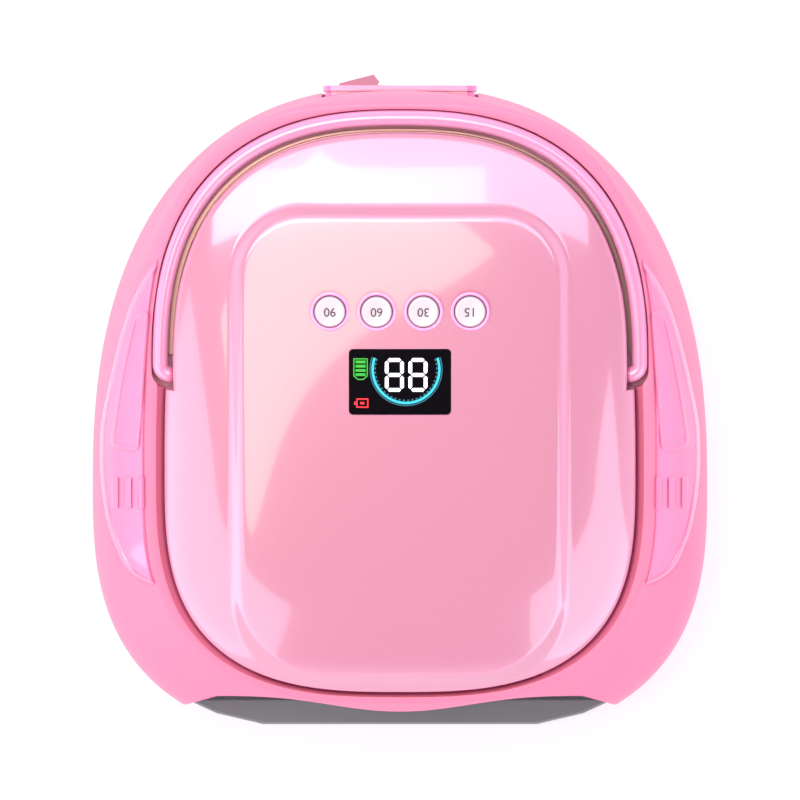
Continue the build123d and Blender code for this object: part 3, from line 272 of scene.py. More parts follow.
def pearl(name, face, edge, roughness, coat, coat_roughness=0.06):
    """Lacquer whose colour runs from one value face on to another at a slant, with painted shade in
    creases.
    """
    material, shader = shaded(name, Roughness=roughness, Coat_Weight=coat, Coat_Roughness=coat_roughness,
                              Coat_IOR=LACQUER_IOR, IOR=ABS_IOR)
    place = add_node(material, "ShaderNodeTexCoord").outputs["Object"]
    flakes = add_node(material, "ShaderNodeTexNoise", {"Vector": place}, Detail=2.0,
                      Scale=1 / (FLAKE_MM * MM))
    turned = add_node(material, "ShaderNodeLayerWeight", Blend=LEAN_BLEND).outputs["Facing"]
    lean = add_node(material, "ShaderNodeMix", {"Factor": turned}, data_type="RGBA")
    lean.inputs["A"].default_value = linear(face)
    lean.inputs["B"].default_value = linear(edge)
    open_sky = add_node(material, "ShaderNodeAmbientOcclusion", samples=8, Distance=CREASE_MM * MM)
    shut = add_node(material, "ShaderNodeMapRange", {"Value": open_sky.outputs["AO"]}, From_Min=CREASE_SHUT,
                    From_Max=CREASE_OPEN)
    layers = {"Factor": shut.outputs["Result"], "B": lean.outputs["Result"]}
    crease_shade = add_node(material, "ShaderNodeMix", layers, data_type="RGBA")
    crease_shade.inputs["A"].default_value = linear(CREASE_SHADE_COLOUR)
    amount = add_node(material, "ShaderNodeMapRange", {"Value": flakes.outputs["Fac"]}, To_Min=FLAKE_DARK,
                      To_Max=FLAKE_LIGHT)
    sparkle = add_node(material, "ShaderNodeHueSaturation", {"Color": crease_shade.outputs["Result"],
                                                            "Value": amount.outputs["Result"]})
    link(material, sparkle.outputs["Color"], shader, "Base Color")
    ripple = add_node(material, "ShaderNodeTexNoise", {"Vector": place}, Detail=1.0,
                      Scale=1 / (PEEL_WIDE_MM * MM))
    bump = add_node(material, "ShaderNodeBump", {"Height": ripple.outputs["Fac"]}, Strength=PEEL_STRENGTH,
                    Distance=PEEL_DEEP_MM * MM)
    link(material, bump.outputs["Normal"], shader, "Normal")
    return material


pearl_casing = pearl("pearl_lacquer_casing", "#D67892", "#D8809A", 0.55, 0.15, coat_roughness=0.25)
pearl_cover = pearl("pearl_lacquer_cover", "#B88693", "#D69AB6", 0.22, 1.0)
pearl_panel = pearl("pearl_lacquer_side_panel", "#D0769A", "#DE8CB0", 0.25, 1.0, coat_roughness=0.05)
pearl_handle = pearl("pearl_lacquer_handle", "#D28CA8", "#E8AACA", 0.2, 1.0)
pearl_rear = pearl("pearl_lacquer_rear", "#E884AC", "#F4A0D4", 0.3, 0.8)
print("pearl lacquers ready")

# %% [markdown]
# Plain mouldings, metals, boards and rubber are simpler: one colour broken up by a noise at the grain's
# real size, and a fine bump.

# %% Plain finishes
GRAIN_STRENGTH = 0.3


def plain(name, low, high, grain_mm, bump_mm, stretch=(1.0, 1.0, 1.0), **settings):
    """A finish between two close hex values; the grain can be stretched along the rolling direction."""
    material, shader = shaded(name, **settings)
    place = add_node(material, "ShaderNodeTexCoord").outputs["Object"]
    laid = add_node(material, "ShaderNodeMapping", {"Vector": place}, Scale=stretch).outputs["Vector"]
    grain = add_node(material, "ShaderNodeTexNoise", {"Vector": laid}, Detail=4.0,
                     Scale=1 / (grain_mm * MM))
    colour = add_node(material, "ShaderNodeMix", {"Factor": grain.outputs["Fac"]}, data_type="RGBA")
    colour.inputs["A"].default_value = linear(low)
    colour.inputs["B"].default_value = linear(high)
    link(material, colour.outputs["Result"], shader, "Base Color")
    bump = add_node(material, "ShaderNodeBump", {"Height": grain.outputs["Fac"]}, Strength=GRAIN_STRENGTH,
                    Distance=bump_mm * MM)
    link(material, bump.outputs["Normal"], shader, "Normal")
    return material


MATT_ABS = {"Roughness": 0.5, "IOR": 1.5}
# finish: its darker and lighter colour, grain and bump in mm, settings, and the nodes that wear it
FINISHES = {
    "moulded_white_abs": ("#E9E9EA", "#F5F5F5", 0.8, 0.02, {"Roughness": 0.45, "IOR": 1.5},
                          ["handle_bushes", "reflector_liner", "base_frame"]),
    "moulded_black_abs": ("#121212", "#1C1C1D", 0.6, 0.03, MATT_ABS,
                          ["display_module", "key_switches", "hand_sensors", "battery_holder",
                           "charging_socket"]),
    "moulded_grey_abs": ("#6C7875", "#727E7B", 0.7, 0.02, MATT_ABS, ["base_tray"]),
    "solder_mask_board": ("#DADFD6", "#E8ECE4", 1.5, 0.02, {"Roughness": 0.35},
                          ["control_board", "led_roof_board", "led_left_board", "led_right_board",
                           "power_board"]),
    "zinc_plated_steel": ("#A6A69E", "#C0BFB8", 1.0, 0.01, {"Metallic": 1.0, "Roughness": 0.35},
                          ["board_screws", "cover_screws", "handle_clips", "liner_screws", "base_screws",
                           "rear_screws"]),
    "nickel_plated_steel": ("#B5B0A6", "#CCC7BD", 1.0, 0.01, {"Metallic": 1.0, "Roughness": 0.25},
                            ["tray_magnets", "tray_strikes", "socket_nut"]),
    "rolled_aluminium": ("#B4B6B8", "#CDCED0", 0.5, 0.01,
                         {"stretch": (1.0, 12.0, 1.0), "Metallic": 1.0, "Roughness": 0.35},
                         ["heat_spreader"]),
    "bright_reflector_sheet": ("#D9DADC", "#ECEDEF", 3.0, 0.01, {"Metallic": 1.0, "Roughness": 0.12},
                               ["tray_sheet"]),
    # painted shade: the strip's tan stands for the shaded floor of the handle's channel, given here a metal
    # finish
    "tan_strip_painted_shade": ("#A88488", "#C09CA0", 0.4, 0.01,
                        {"stretch": (1.0, 6.0, 1.0), "Metallic": 1.0, "Roughness": 0.35}, ["channel_trim"]),
    "dusty_pink_abs": ("#C48CA6", "#D49CB6", 0.8, 0.02, MATT_ABS, ["deck_carrier"]),
    "cell_shrink_wrap": ("#2F63B5", "#3A71C6", 2.0, 0.01, {"Roughness": 0.25, "IOR": 1.5},
                         ["battery_cells"]),
    "grey_silicone_rubber": ("#4B4B4B", "#5A5A5A", 0.5, 0.05, {"Roughness": 0.8}, ["rubber_feet"]),
    "silicone_lens": ("#F2ECC4", "#FBF7DC", 0.9, 0.01, {"Roughness": 0.15, "Coat_Weight": 0.5},
                      ["led_beads"]),
}
finished = 0
for finish, (low, high, grain_mm, bump_mm, settings, nodes) in FINISHES.items():
    material = plain(finish, low, high, grain_mm, bump_mm, **settings)
    for node in nodes:
        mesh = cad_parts[node].data
        mesh.materials.clear()
        mesh.materials.append(material)
        finished += 1
print(finished, "CAD nodes finished")

# %% [markdown]
# The opening in the casing's top is one outline in two parts: in front of the pivots it is the cover's
# seam with a wall that leans outwards, behind them it is the outer wall of the handle's channel. The
# casing is built as the real tool would fill it: a full block first, then the hollow, the mouth and the
# opening taken away.

# %% Casing
SEAM_EGG = (87.5, 100.9, -109.1, -30.0, 3.0, 2.85)
COVER_BACK_EGG = (84.3, 100.2, -73.2, 13.5, 2.5, 2.5)
CHAMFER_EGG = (91.2, 104.6, -111.6, -30.0, 3.0, 2.85)
CHANNEL_EGG = (92.5, 109.0, -109.0, 13.5, 2.5, 2.5)
SEAM_GAP = 0.3
CHANNEL_END_V = 4.5
CHANNEL_CORNER = 6.5
SHELL_WALL = 2.6
WALL_FOOT_H = -7.2
ARC_STEPS = 40
STEP_PHIS, HAIR = np.linspace(0.24, 0.38, 40), 1e-4


def edge_at(egg, place):
    """Half width of an outline at one place along it."""
    u, v = egg_points(egg)
    right = u > 0
    order = np.argsort(v[right])
    return float(np.interp(place, v[right][order], u[right][order]))


def stepped_reach(front_egg, back_egg, phis):
    """How far an outline is from the deck's middle at given angles. It follows one egg in front of the
    channel's end and another behind it. A wider back egg ends in a rounded corner, which is the closed end
    of the handle's channel."""
    narrow, start_v = edge_at(front_egg, CHANNEL_END_V), CHANNEL_END_V
    wide = edge_at(back_egg, CHANNEL_END_V)
    if wide > narrow:
        start_v = CHANNEL_END_V + CHANNEL_CORNER
        turn = np.linspace(0, math.pi / 2, ARC_STEPS)
        arc_u = edge_at(back_egg, start_v) - CHANNEL_CORNER * (1 - np.cos(turn))
        arc_v = start_v - CHANNEL_CORNER * np.sin(turn)
        outside = arc_u > narrow + 0.05
        arc_u, arc_v = arc_u[outside], arc_v[outside]
        parts = [np.column_stack([np.concatenate([arc_u, -arc_u]), np.concatenate([arc_v, arc_v])])]
    else:
        parts = [np.array([(wide, CHANNEL_END_V), (-wide, CHANNEL_END_V)])]
    parts.append(np.array([(narrow, CHANNEL_END_V), (-narrow, CHANNEL_END_V)]))
    for egg, behind, limit in ((front_egg, False, CHANNEL_END_V), (back_egg, True, start_v)):
        u, v = egg_points(egg)
        keep = (v > limit) == behind
        parts.append(np.column_stack([u[keep], v[keep]]))
    u, v = np.concatenate(parts).T
    reach, angle = np.hypot(u, v - CENTRE_V), np.arctan2(v - CENTRE_V, u)
    order = np.argsort(angle)
    return np.interp(phis, angle[order], reach[order], period=2 * math.pi)


def stepped_ring(front_egg, back_egg, h, phis):
    radius = stepped_reach(front_egg, back_egg, phis)
    return on_deck(radius * np.cos(phis), CENTRE_V + radius * np.sin(phis), h)


def step_phis(front_egg, back_egg):
    """Even angles with closer ones around the step, so that its corner stays crisp."""
    extra = []
    for egg in (front_egg, back_egg):
        angle = math.atan2(CHANNEL_END_V - CENTRE_V, edge_at(egg, CHANNEL_END_V))
        for turn in (angle, math.pi - angle):
            extra += [turn - HAIR, turn + HAIR]
    return np.sort(np.concatenate([PHI, extra, STEP_PHIS, math.pi - STEP_PHIS]))


seam_wall = grown(SEAM_EGG, SEAM_GAP)
phis = step_phis(seam_wall, CHANNEL_EGG)
crest_share = (CREST_H - SEAT_H) / (CREST_H + 1 - SEAT_H)
crest_wall = tuple(a + crest_share * (b - a) for a, b in zip(seam_wall, CHAMFER_EGG))
SIDE_Z = np.concatenate([np.linspace(2, 60, 30), np.linspace(61.5, 73.5, 14)])
rings = [casing_ring(z, phis=phis) for z in SIDE_Z]
# the crest's soft outer edge: how far each ring lies down and in
CREST_EDGE = ((0.25, 0.15), (0.08, 0.45), (0.0, 0.9))
for down, inset in CREST_EDGE:
    rings.append(casing_ring(CREST_Z - down, -inset, phis))
# the crest's soft inner edge, then the wall of the opening down to its foot: the seam's wall, how far
# the two outlines are grown, and the height over the deck
opening_rings = [(crest_wall, 0.5, 0.5, CREST_H), (crest_wall, 0.1, -0.2, CREST_H - 0.12),
                 (crest_wall, 0.0, -0.4, CREST_H - 0.5), (seam_wall, 0.0, 0.0, -1.0),
                 (seam_wall, 0.0, 0.0, SEAT_H), (seam_wall, 0.0, 0.0, WALL_FOOT_H)]
for wall, seam_out, channel_out, h in opening_rings:
    rings.append(stepped_ring(grown(wall, seam_out), grown(CHANNEL_EGG, channel_out), h, phis))
casing = ring_stack("casing", rings)

FAR, BLOCK_Z = 200.0, (-5, 120)
FRONT_WALL_Y = -105.0
HOLLOW_Z = np.linspace(0.5, 63.0, 26)
WELL_H, WELL_PLAY = (-14.0, -6.0), 0.05
front_block = [(-FAR, -FAR), (FAR, -FAR), (FAR, FRONT_WALL_Y), (-FAR, FRONT_WALL_Y)]
hollow = ring_stack("hollow", [casing_ring(z, -SHELL_WALL, phis) for z in HOLLOW_Z])
cut(hollow, [prism("keep_front", front_block, *BLOCK_Z)])
well_eggs = grown(seam_wall, -WELL_PLAY), grown(CHANNEL_EGG, -WELL_PLAY)
well = ring_stack("well", [stepped_ring(*well_eggs, h, phis) for h in WELL_H])
cut(well, [prism("keep_slab", front_block, *BLOCK_Z)])

LIP_HALF, LIP_Y, LIP_DIP, LIP_POWER = 68.0, -110.3, 5.8, 3.2
CHEEK_X, CHEEK_Y = 80.3, -113.9
LIP_CUT_Y, LIP_CUT_Z = -220, (-10, 130)
lip_x = np.linspace(-LIP_HALF, LIP_HALF, 69)
lip_y = LIP_Y - LIP_DIP * np.cos(lip_x / LIP_HALF * math.pi / 2) ** LIP_POWER
lip_outline = [(-FAR, CHEEK_Y), (-CHEEK_X, CHEEK_Y), *zip(lip_x, lip_y), (CHEEK_X, CHEEK_Y), (FAR, CHEEK_Y),
               (FAR, LIP_CUT_Y), (-FAR, LIP_CUT_Y)]
lip_cutter = prism("lip_cutter", lip_outline[::-1], *LIP_CUT_Z)

ARCH_HALF, ARCH_FOOT, ARCH_TOP, ARCH_CORNER = 78.3, -10.0, 48.0, 24.0
ARCH_END_Y = -104.0
arch = [(-ARCH_HALF, ARCH_FOOT)]
for a in np.linspace(0, math.pi / 2, 17):
    arch.append((-ARCH_HALF + ARCH_CORNER * (1 - math.cos(a)), ARCH_TOP - ARCH_CORNER * (1 - math.sin(a))))
arch += [(-x, z) for x, z in reversed(arch)]
arch_rings = [np.array([(x, y, z) for x, z in arch]) for y in (-FAR, ARCH_END_Y)]
arch_cutter = ring_stack("arch_cutter", arch_rings)

POCKET_HALF, POCKET_FLOOR_Y, POCKET_LOW, POCKET_HIGH = 29.2, 112.0, 19.5, 52.5
POCKET_OUT_Y = 150.0
pocket_outline = [(-POCKET_HALF, POCKET_FLOOR_Y), (POCKET_HALF, POCKET_FLOOR_Y),
                  (POCKET_HALF, POCKET_OUT_Y), (-POCKET_HALF, POCKET_OUT_Y)]
pocket = prism("pocket", pocket_outline, POCKET_LOW, POCKET_HIGH)
cut(casing, [hollow, well, lip_cutter, arch_cutter, pocket])
set_apart(casing, "housing", pearl_casing, "pink_casing", "outer_shell")
print("casing:", len(casing.data.polygons), "faces, mouth", 2 * ARCH_HALF, "mm wide")

# %% [markdown]
# The cover is a dome with a nearly vertical rim and a faint crown. A raised panel with a soft band
# around it fills its middle. The mesh is a fan of rings from the rim to the middle, dense enough for
# the band.

# %% Domed cover
PANEL_HALF, PANEL_BACK, PANEL_FRONT = 57.7, 69.2, -100.8
PANEL_BAND, PANEL_RISE = 6.0, 2.5
PANEL_CORNER_BACK, PANEL_CORNER_FRONT = 22.0, 30.0
RIM_H, DOME_RISE, DOME_POWER, COVER_WALL = 5.0, 16.0, 6, 2.2
CROWN_V, CROWN_SPREAD = -15.0, 1800.0
RIM_MIDDLE_H, RIM_TOP_H = 1.0, 3.6
# the dome's edge rounds off over the last share of its reach
ROUND_SHARE, ROUND_WIDTH, ROUND_DROP = 0.99, 0.01, 1.2


def cover_height(u, v):
    """The cover's height over the deck: rim, dome, crown and raised panel."""
    half_width, back, front, widest, power = *SEAM_EGG[:4], SEAM_EGG[5]
    reach = np.where(v > widest, back - widest, widest - front)
    ring = ((np.abs(u) / half_width) ** power + (np.abs(v - widest) / reach) ** power) ** (1 / power)
    crown = (u ** 2 + (v - CROWN_V) ** 2) / CROWN_SPREAD
    dome = (DOME_RISE - crown) * (1 - ring ** DOME_POWER)
    middle, half = (PANEL_BACK + PANEL_FRONT) / 2, (PANEL_BACK - PANEL_FRONT) / 2
    corner = np.where(v > middle, PANEL_CORNER_BACK, PANEL_CORNER_FRONT)
    beside = np.abs(u) - PANEL_HALF + corner
    beyond = np.abs(v - middle) - half + corner
    outside = np.hypot(np.maximum(beside, 0), np.maximum(beyond, 0))
    inside = corner - outside - np.minimum(np.maximum(beside, beyond), 0)
    share = np.clip(1 + inside / PANEL_BAND, 0, 1)
    return RIM_H + dome + PANEL_RISE * share ** 2 * (3 - 2 * share)


cover_phis = step_phis(SEAM_EGG, COVER_BACK_EGG)
DOME_SHARES = np.concatenate([[0.9995, 0.996, 0.990], np.linspace(0.982, 0.0, 140)])


def cover_skin(inset):
    """Rings of the dome from the seat up to the middle, moved in by a wall."""
    eggs = grown(SEAM_EGG, -inset), grown(COVER_BACK_EGG, -inset)
    rim_reach = stepped_reach(*eggs, cover_phis)
    made = [stepped_ring(*eggs, h, cover_phis) for h in (SEAT_H, RIM_MIDDLE_H, RIM_TOP_H - inset)]
    for share in DOME_SHARES:
        u = rim_reach * share * np.cos(cover_phis)
        v = CENTRE_V + rim_reach * share * np.sin(cover_phis)
        drop = ROUND_DROP * max(0.0, (share - ROUND_SHARE) / ROUND_WIDTH) ** 2
        made.append(on_deck(u, v, cover_height(u, v) - drop - inset))
    return made


outside, inside = cover_skin(0.0), cover_skin(COVER_WALL)
cover = ring_stack("cover", inside[::-1] + outside, join_ends=True, sharp=50.0)

KEY_V, KEY_PITCH = 35.6, 17.3
KEY_RADIUS, KEY_GAP, RING_WALL = 5.8, 0.3, 1.1
KEY_U = [KEY_PITCH * (i - 1.5) for i in range(4)]
DISPLAY_V, DISPLAY_WIDE, DISPLAY_DEEP, DISPLAY_CORNER = 9.55, 37.6, 24.2, 1.6
DISPLAY_PLAY = 0.3
HOLE_TOP_H = 40.0


def deck_prism(name, outline, low, high):
    outline = np.asarray(outline, float)
    rings = [on_deck(outline[:, 0], outline[:, 1], h) for h in (low, high)]
    return ring_stack(name, rings)


def circle(u, v, radius, count=64):
    turn = np.linspace(0, 2 * math.pi, count, endpoint=False)
    return np.column_stack([u + radius * np.cos(turn), v + radius * np.sin(turn)])


def rounded_box(u, v, wide, deep, corner, count=6):
    points = []
    for k, (sx, sy) in enumerate(((1, 1), (-1, 1), (-1, -1), (1, -1))):
        for a in np.linspace(k * math.pi / 2, (k + 1) * math.pi / 2, count):
            points.append((u + sx * (wide / 2 - corner) + corner * math.cos(a),
                           v + sy * (deep / 2 - corner) + corner * math.sin(a)))
    return np.array(points)


holes = [deck_prism(f"hole_{i}", circle(u, KEY_V, KEY_RADIUS + KEY_GAP + RING_WALL), 0, HOLE_TOP_H)
         for i, u in enumerate(KEY_U)]
display_hole = rounded_box(0, DISPLAY_V, DISPLAY_WIDE + DISPLAY_PLAY, DISPLAY_DEEP + DISPLAY_PLAY,
                           DISPLAY_CORNER)
holes.append(deck_prism("hole_display", display_hole, 0, HOLE_TOP_H))
cut(cover, holes, sharp=50.0)
set_apart(cover, "housing", pearl_cover, "pink_gloss", "visor_cover")
print("cover:", len(cover.data.polygons), "faces")

# %% [markdown]
# Each side panel is a thin skin that follows the casing, with a long raised pad and three ribs. It is a
# grid in plan whose heights are looked up on the casing's surface, and the details are small rises
# added to it.

# %% Side panels
PANEL_OUTLINE = np.array([(82.0, 62.5), (99.4, 37.2), (109.8, 0.0), (111.9, -18.6), (110.6, -37.2),
                          (106.8, -52.9), (99.5, -65.0), (82.0, -72.0)])
CREST_EGG = tuple(LEVELS[-1, 2:])
PANEL_LIFT, PANEL_THICK, PANEL_DRAFT = 1.5, 1.25, 0.992
PANEL_LIP, PANEL_LIP_DROP, PANEL_LEAST = 0.8, 0.55, 0.3
CREST_OUT, CREST_DOWN = 0.5, 2.0
PAD_RISE, PAD_SINK, PAD_RIM, PAD_SLOPE = 0.95, 0.6, 1.1, 0.6
PAD = np.array([(92.6, 33.0), (98.6, 34.0), (104.6, 10.0), (108.2, -17.5), (97.0, -20.0)])
PAD_ROUNDNESS = 1.1
RIBS = [(94.6, 97.6), (99.6, 102.6), (104.6, 107.4)]
RIB_FRONT, RIB_BACK, RIB_RISE, SOFT_EDGE = -40.5, -28.5, 0.9, 0.5
BORDER_RISE, BORDER_IN, BORDER_HALF = 0.7, 1.3, 0.9
FAN_COUNT, ACROSS_COUNT = 460, 96


def smooth_row(points, per_span=24):
    """A Catmull-Rom curve through an open row of points."""
    padded = np.vstack([2 * points[0] - points[1], points, 2 * points[-1] - points[-2]])
    made = []
    for a, b, c, d in zip(padded[:-3], padded[1:-2], padded[2:-1], padded[3:]):
        for t in np.linspace(0, 1, per_span, endpoint=False):
            made.append(0.5 * (2 * b + (c - a) * t + (2 * a - 5 * b + 4 * c - d) * t ** 2
                               + (3 * b - a - 3 * c + d) * t ** 3))
    made.append(points[-1])
    return np.array(made)


def polygon_distance(x, y, corners):
    """Distance inside a convex outline with softened corners; less than 0 is outside."""
    total = 0.0
    for (x0, y0), (x1, y1) in zip(corners, np.roll(corners, -1, axis=0)):
        length = math.hypot(x1 - x0, y1 - y0)
        distance = ((x - x0) * (y1 - y0) - (y - y0) * (x1 - x0)) / length
        total += math.exp(-distance / PAD_ROUNDNESS)
    return -PAD_ROUNDNESS * math.log(total)


table_phi = np.linspace(-1.2, 1.6, 281)
table_z = np.linspace(40.0, CREST_Z, 120)
table = np.array([casing_ring(z, PANEL_LIFT, table_phi) for z in table_z])
table_r = np.hypot(table[..., 0], table[..., 1] - CENTRE_V)


def flank_height(x, y):
    """Height of the side panel's surface over a place in plan."""
    phi, r = math.atan2(y - CENTRE_V, x), math.hypot(x, y - CENTRE_V)
    column = np.interp(phi, table_phi, np.arange(len(table_phi)))
    low = int(column)
    part = column - low
    high = min(low + 1, len(table_phi) - 1)
    radii = (1 - part) * table_r[:, low] + part * table_r[:, high]
    heights = (1 - part) * table[:, low, 2] + part * table[:, high, 2]
    return float(np.interp(-r, -radii, heights))


def step_up(share):
    share = min(max(share, 0.0), 1.0)
    return share * share * (3 - 2 * share)


def panel_relief(x, y):
    """How far the pad, its rim and the ribs rise over the panel."""
    inside = float(polygon_distance(x, y, PAD))
    rise = PAD_RISE * step_up(inside / SOFT_EDGE) - PAD_SINK * step_up((inside - PAD_RIM) / PAD_SLOPE)
    for x0, x1 in RIBS:
        rise += RIB_RISE * step_up(min(x - x0, x1 - x, y - RIB_FRONT, RIB_BACK - y) / SOFT_EDGE)
    return rise


def side_panel(name, node, side):
    """One panel, at the right for side 1 and mirrored for side -1."""
    edge = smooth_row(PANEL_OUTLINE)
    edge_phi = np.arctan2(edge[:, 1] - CENTRE_V, edge[:, 0])
    edge_r = np.hypot(edge[:, 0], edge[:, 1] - CENTRE_V)
    crest_u, crest_v = egg_points(grown(CREST_EGG, CREST_OUT))
    crest = on_deck(crest_u, crest_v, np.full(len(crest_u), CREST_H - CREST_DOWN))
    crest_phi = np.arctan2(crest[:, 1] - CENTRE_V, crest[:, 0])
    order = np.argsort(crest_phi)
    crest_r = np.hypot(crest[:, 0], crest[:, 1] - CENTRE_V)
    order_e = np.argsort(edge_phi)
    fan = np.linspace(edge_phi.min(), edge_phi.max(), FAN_COUNT)
    inner = np.interp(fan, crest_phi[order], crest_r[order])
    outer = np.interp(fan, edge_phi[order_e], edge_r[order_e])
    keep = outer > inner + PANEL_LEAST
    fan, inner, outer = fan[keep], inner[keep], outer[keep]
    across = np.concatenate([[0.0], np.linspace(0.02, 0.98, ACROSS_COUNT), [1.0]])
    top, under = [], []
    for phi, r0, r1 in zip(fan, inner, outer):
        row, low_row = [], []
        for share in across:
            r = r0 + (r1 - r0) * share
            x, y = r * math.cos(phi), CENTRE_V + r * math.sin(phi)
            rise = panel_relief(x, y) + BORDER_RISE * step_up(1 - abs(r1 - r - BORDER_IN) / BORDER_HALF)
            lip = min((r - r0) / PANEL_LIP, (r1 - r) / PANEL_LIP, 1.0)
            z = flank_height(x, y) + rise - PANEL_LIP_DROP * (1 - max(lip, 0.0)) ** 2
            row.append((side * x, y, z))
            low_row.append((side * x * PANEL_DRAFT, y, z - rise - PANEL_THICK))
        top.append(row)
        under.append(low_row)
    rows, columns = len(top), len(across)
    verts = [point for row in top + under for point in row]
    faces = []
    half = rows * columns
    for i in range(rows - 1):
        for j in range(columns - 1):
            a = i * columns + j
            faces.append((a, a + 1, a + columns + 1, a + columns))
            faces.append((half + a, half + a + columns, half + a + columns + 1, half + a + 1))
    border = list(range(columns)) + [i * columns + columns - 1 for i in range(1, rows)]
    border += [(rows - 1) * columns + j for j in range(columns - 2, -1, -1)]
    border += [i * columns for i in range(rows - 2, 0, -1)]
    for a, b in zip(border, border[1:] + border[:1]):
        faces.append((a, half + a, half + b, b))
    made = object_from(name, verts, faces, 60.0)
    set_apart(made, "housing", pearl_panel, "pink_gloss", node)
    return made


wings = [side_panel("right_wing", "right_side_panel", 1), side_panel("left_wing", "left_side_panel", -1)]
print("side panels:", [len(wing.data.polygons) for wing in wings], "faces")

# %% [markdown]
# The handle is one bar, oval in section, bent into a bow with an elbow at each end. A ring of points is
# carried along its centre line; at each elbow the line turns inwards and ends in the round stub of the
# pivot.

# %% Carry handle
HANDLE_H, HANDLE_WIDE, HANDLE_TALL = 0.8, 6.0, 8.0
HANDLE_HALF, HANDLE_BACK, HANDLE_POWER = 89.0, 105.5, 2.5
PIVOT_V, ELBOW, STUB_RADIUS, STUB_END = 9.7, 3.8, 2.8, 70.0
ROUND_U, TO_OVAL = 83.0, 2.5
STUB_U, STUB_TRIM = (STUB_END, STUB_END + 0.4, 75.0, 80.0, 82.0, 84.0), 0.85
bow_egg = (HANDLE_HALF, HANDLE_BACK, -HANDLE_BACK, PIVOT_V + ELBOW, HANDLE_POWER, HANDLE_POWER)
bow = np.column_stack(egg_points(bow_egg, np.linspace(0, math.pi, 400)))
steps = np.concatenate([[0], np.cumsum(np.hypot(*np.diff(bow, axis=0).T))])
even = np.linspace(0, steps[-1], 260)
bow = np.column_stack([np.interp(even, steps, bow[:, k]) for k in (0, 1)])
bend = np.linspace(0, math.pi / 2, 12, endpoint=False)
elbow_u, elbow_v = HANDLE_HALF - ELBOW, PIVOT_V + ELBOW
right_elbow = [(elbow_u + ELBOW * math.sin(a), elbow_v - ELBOW * math.cos(a)) for a in bend]
stub = [(u, PIVOT_V) for u in STUB_U]
right = np.array(stub + right_elbow)
left = right[::-1] * [-1, 1]
line = np.concatenate([right, bow, left])
tangent = np.gradient(line, axis=0)
tangent /= np.linalg.norm(tangent, axis=1)[:, None]
around = np.linspace(0, 2 * math.pi, 40, endpoint=False)
rings = []
for (u, v), (tu, tv) in zip(line, tangent):
    is_stub = abs(u) < ROUND_U and v < PIVOT_V + 0.01
    blend_in = 0.0 if is_stub else min(1.0, (abs(u) - ROUND_U) / TO_OVAL if v < PIVOT_V + 0.5 else 1.0)
    wide = STUB_RADIUS + (HANDLE_WIDE / 2 - STUB_RADIUS) * blend_in
    tall = STUB_RADIUS + (HANDLE_TALL / 2 - STUB_RADIUS) * blend_in
    trim = STUB_TRIM if abs(abs(u) - STUB_END) < 0.01 else 1.0
    side = wide * trim * np.cos(around)
    rings.append(on_deck(u - tv * side, v + tu * side, HANDLE_H + tall * trim * np.sin(around)))
handle = ring_stack("carry_handle", rings, sharp=60.0)
set_apart(handle, "handle", pearl_handle, "pink_gloss", "handle_bail")
print("handle: length", round(float(steps[-1])), "mm along the bow")

# %% [markdown]
# The keys are pale caps in light rings. Each cap is turned like a coin with a soft edge, and its plain
# number is printed, here as thin raised letters, the right way up for a person who sits behind the
# lamp.

# %% Keys and rings
def lathe(profile, u, v, base_h, count=72):
    """Rings for a row of (radius, height) turned around an axis square to the deck."""
    turn = np.linspace(0, 2 * math.pi, count, endpoint=False)
    return [on_deck(u + r * np.cos(turn), v + r * np.sin(turn), base_h + h) for r, h in profile]


key_cap = plain("key_cap_abs", "#BABDB9", "#C4C7C3", 0.6, 0.005, Roughness=0.3, IOR=1.5, Coat_Weight=0.3)
# painted shade: the grey of each cap's edge ring stands for the shadow round the cap's rim
key_edge = plain("key_edge_painted_shade", "#857C82", "#91888E", 0.4, 0.005, Roughness=0.4, IOR=1.5)
key_print = plain("key_print_ink", "#4E444C", "#5A5058", 0.3, 0.002, Roughness=0.5)
DIGIT_MM, DIGIT_THICK, DIGIT_BOLD, PRINT_H = 4.6, 0.05, 0.06, 1.27
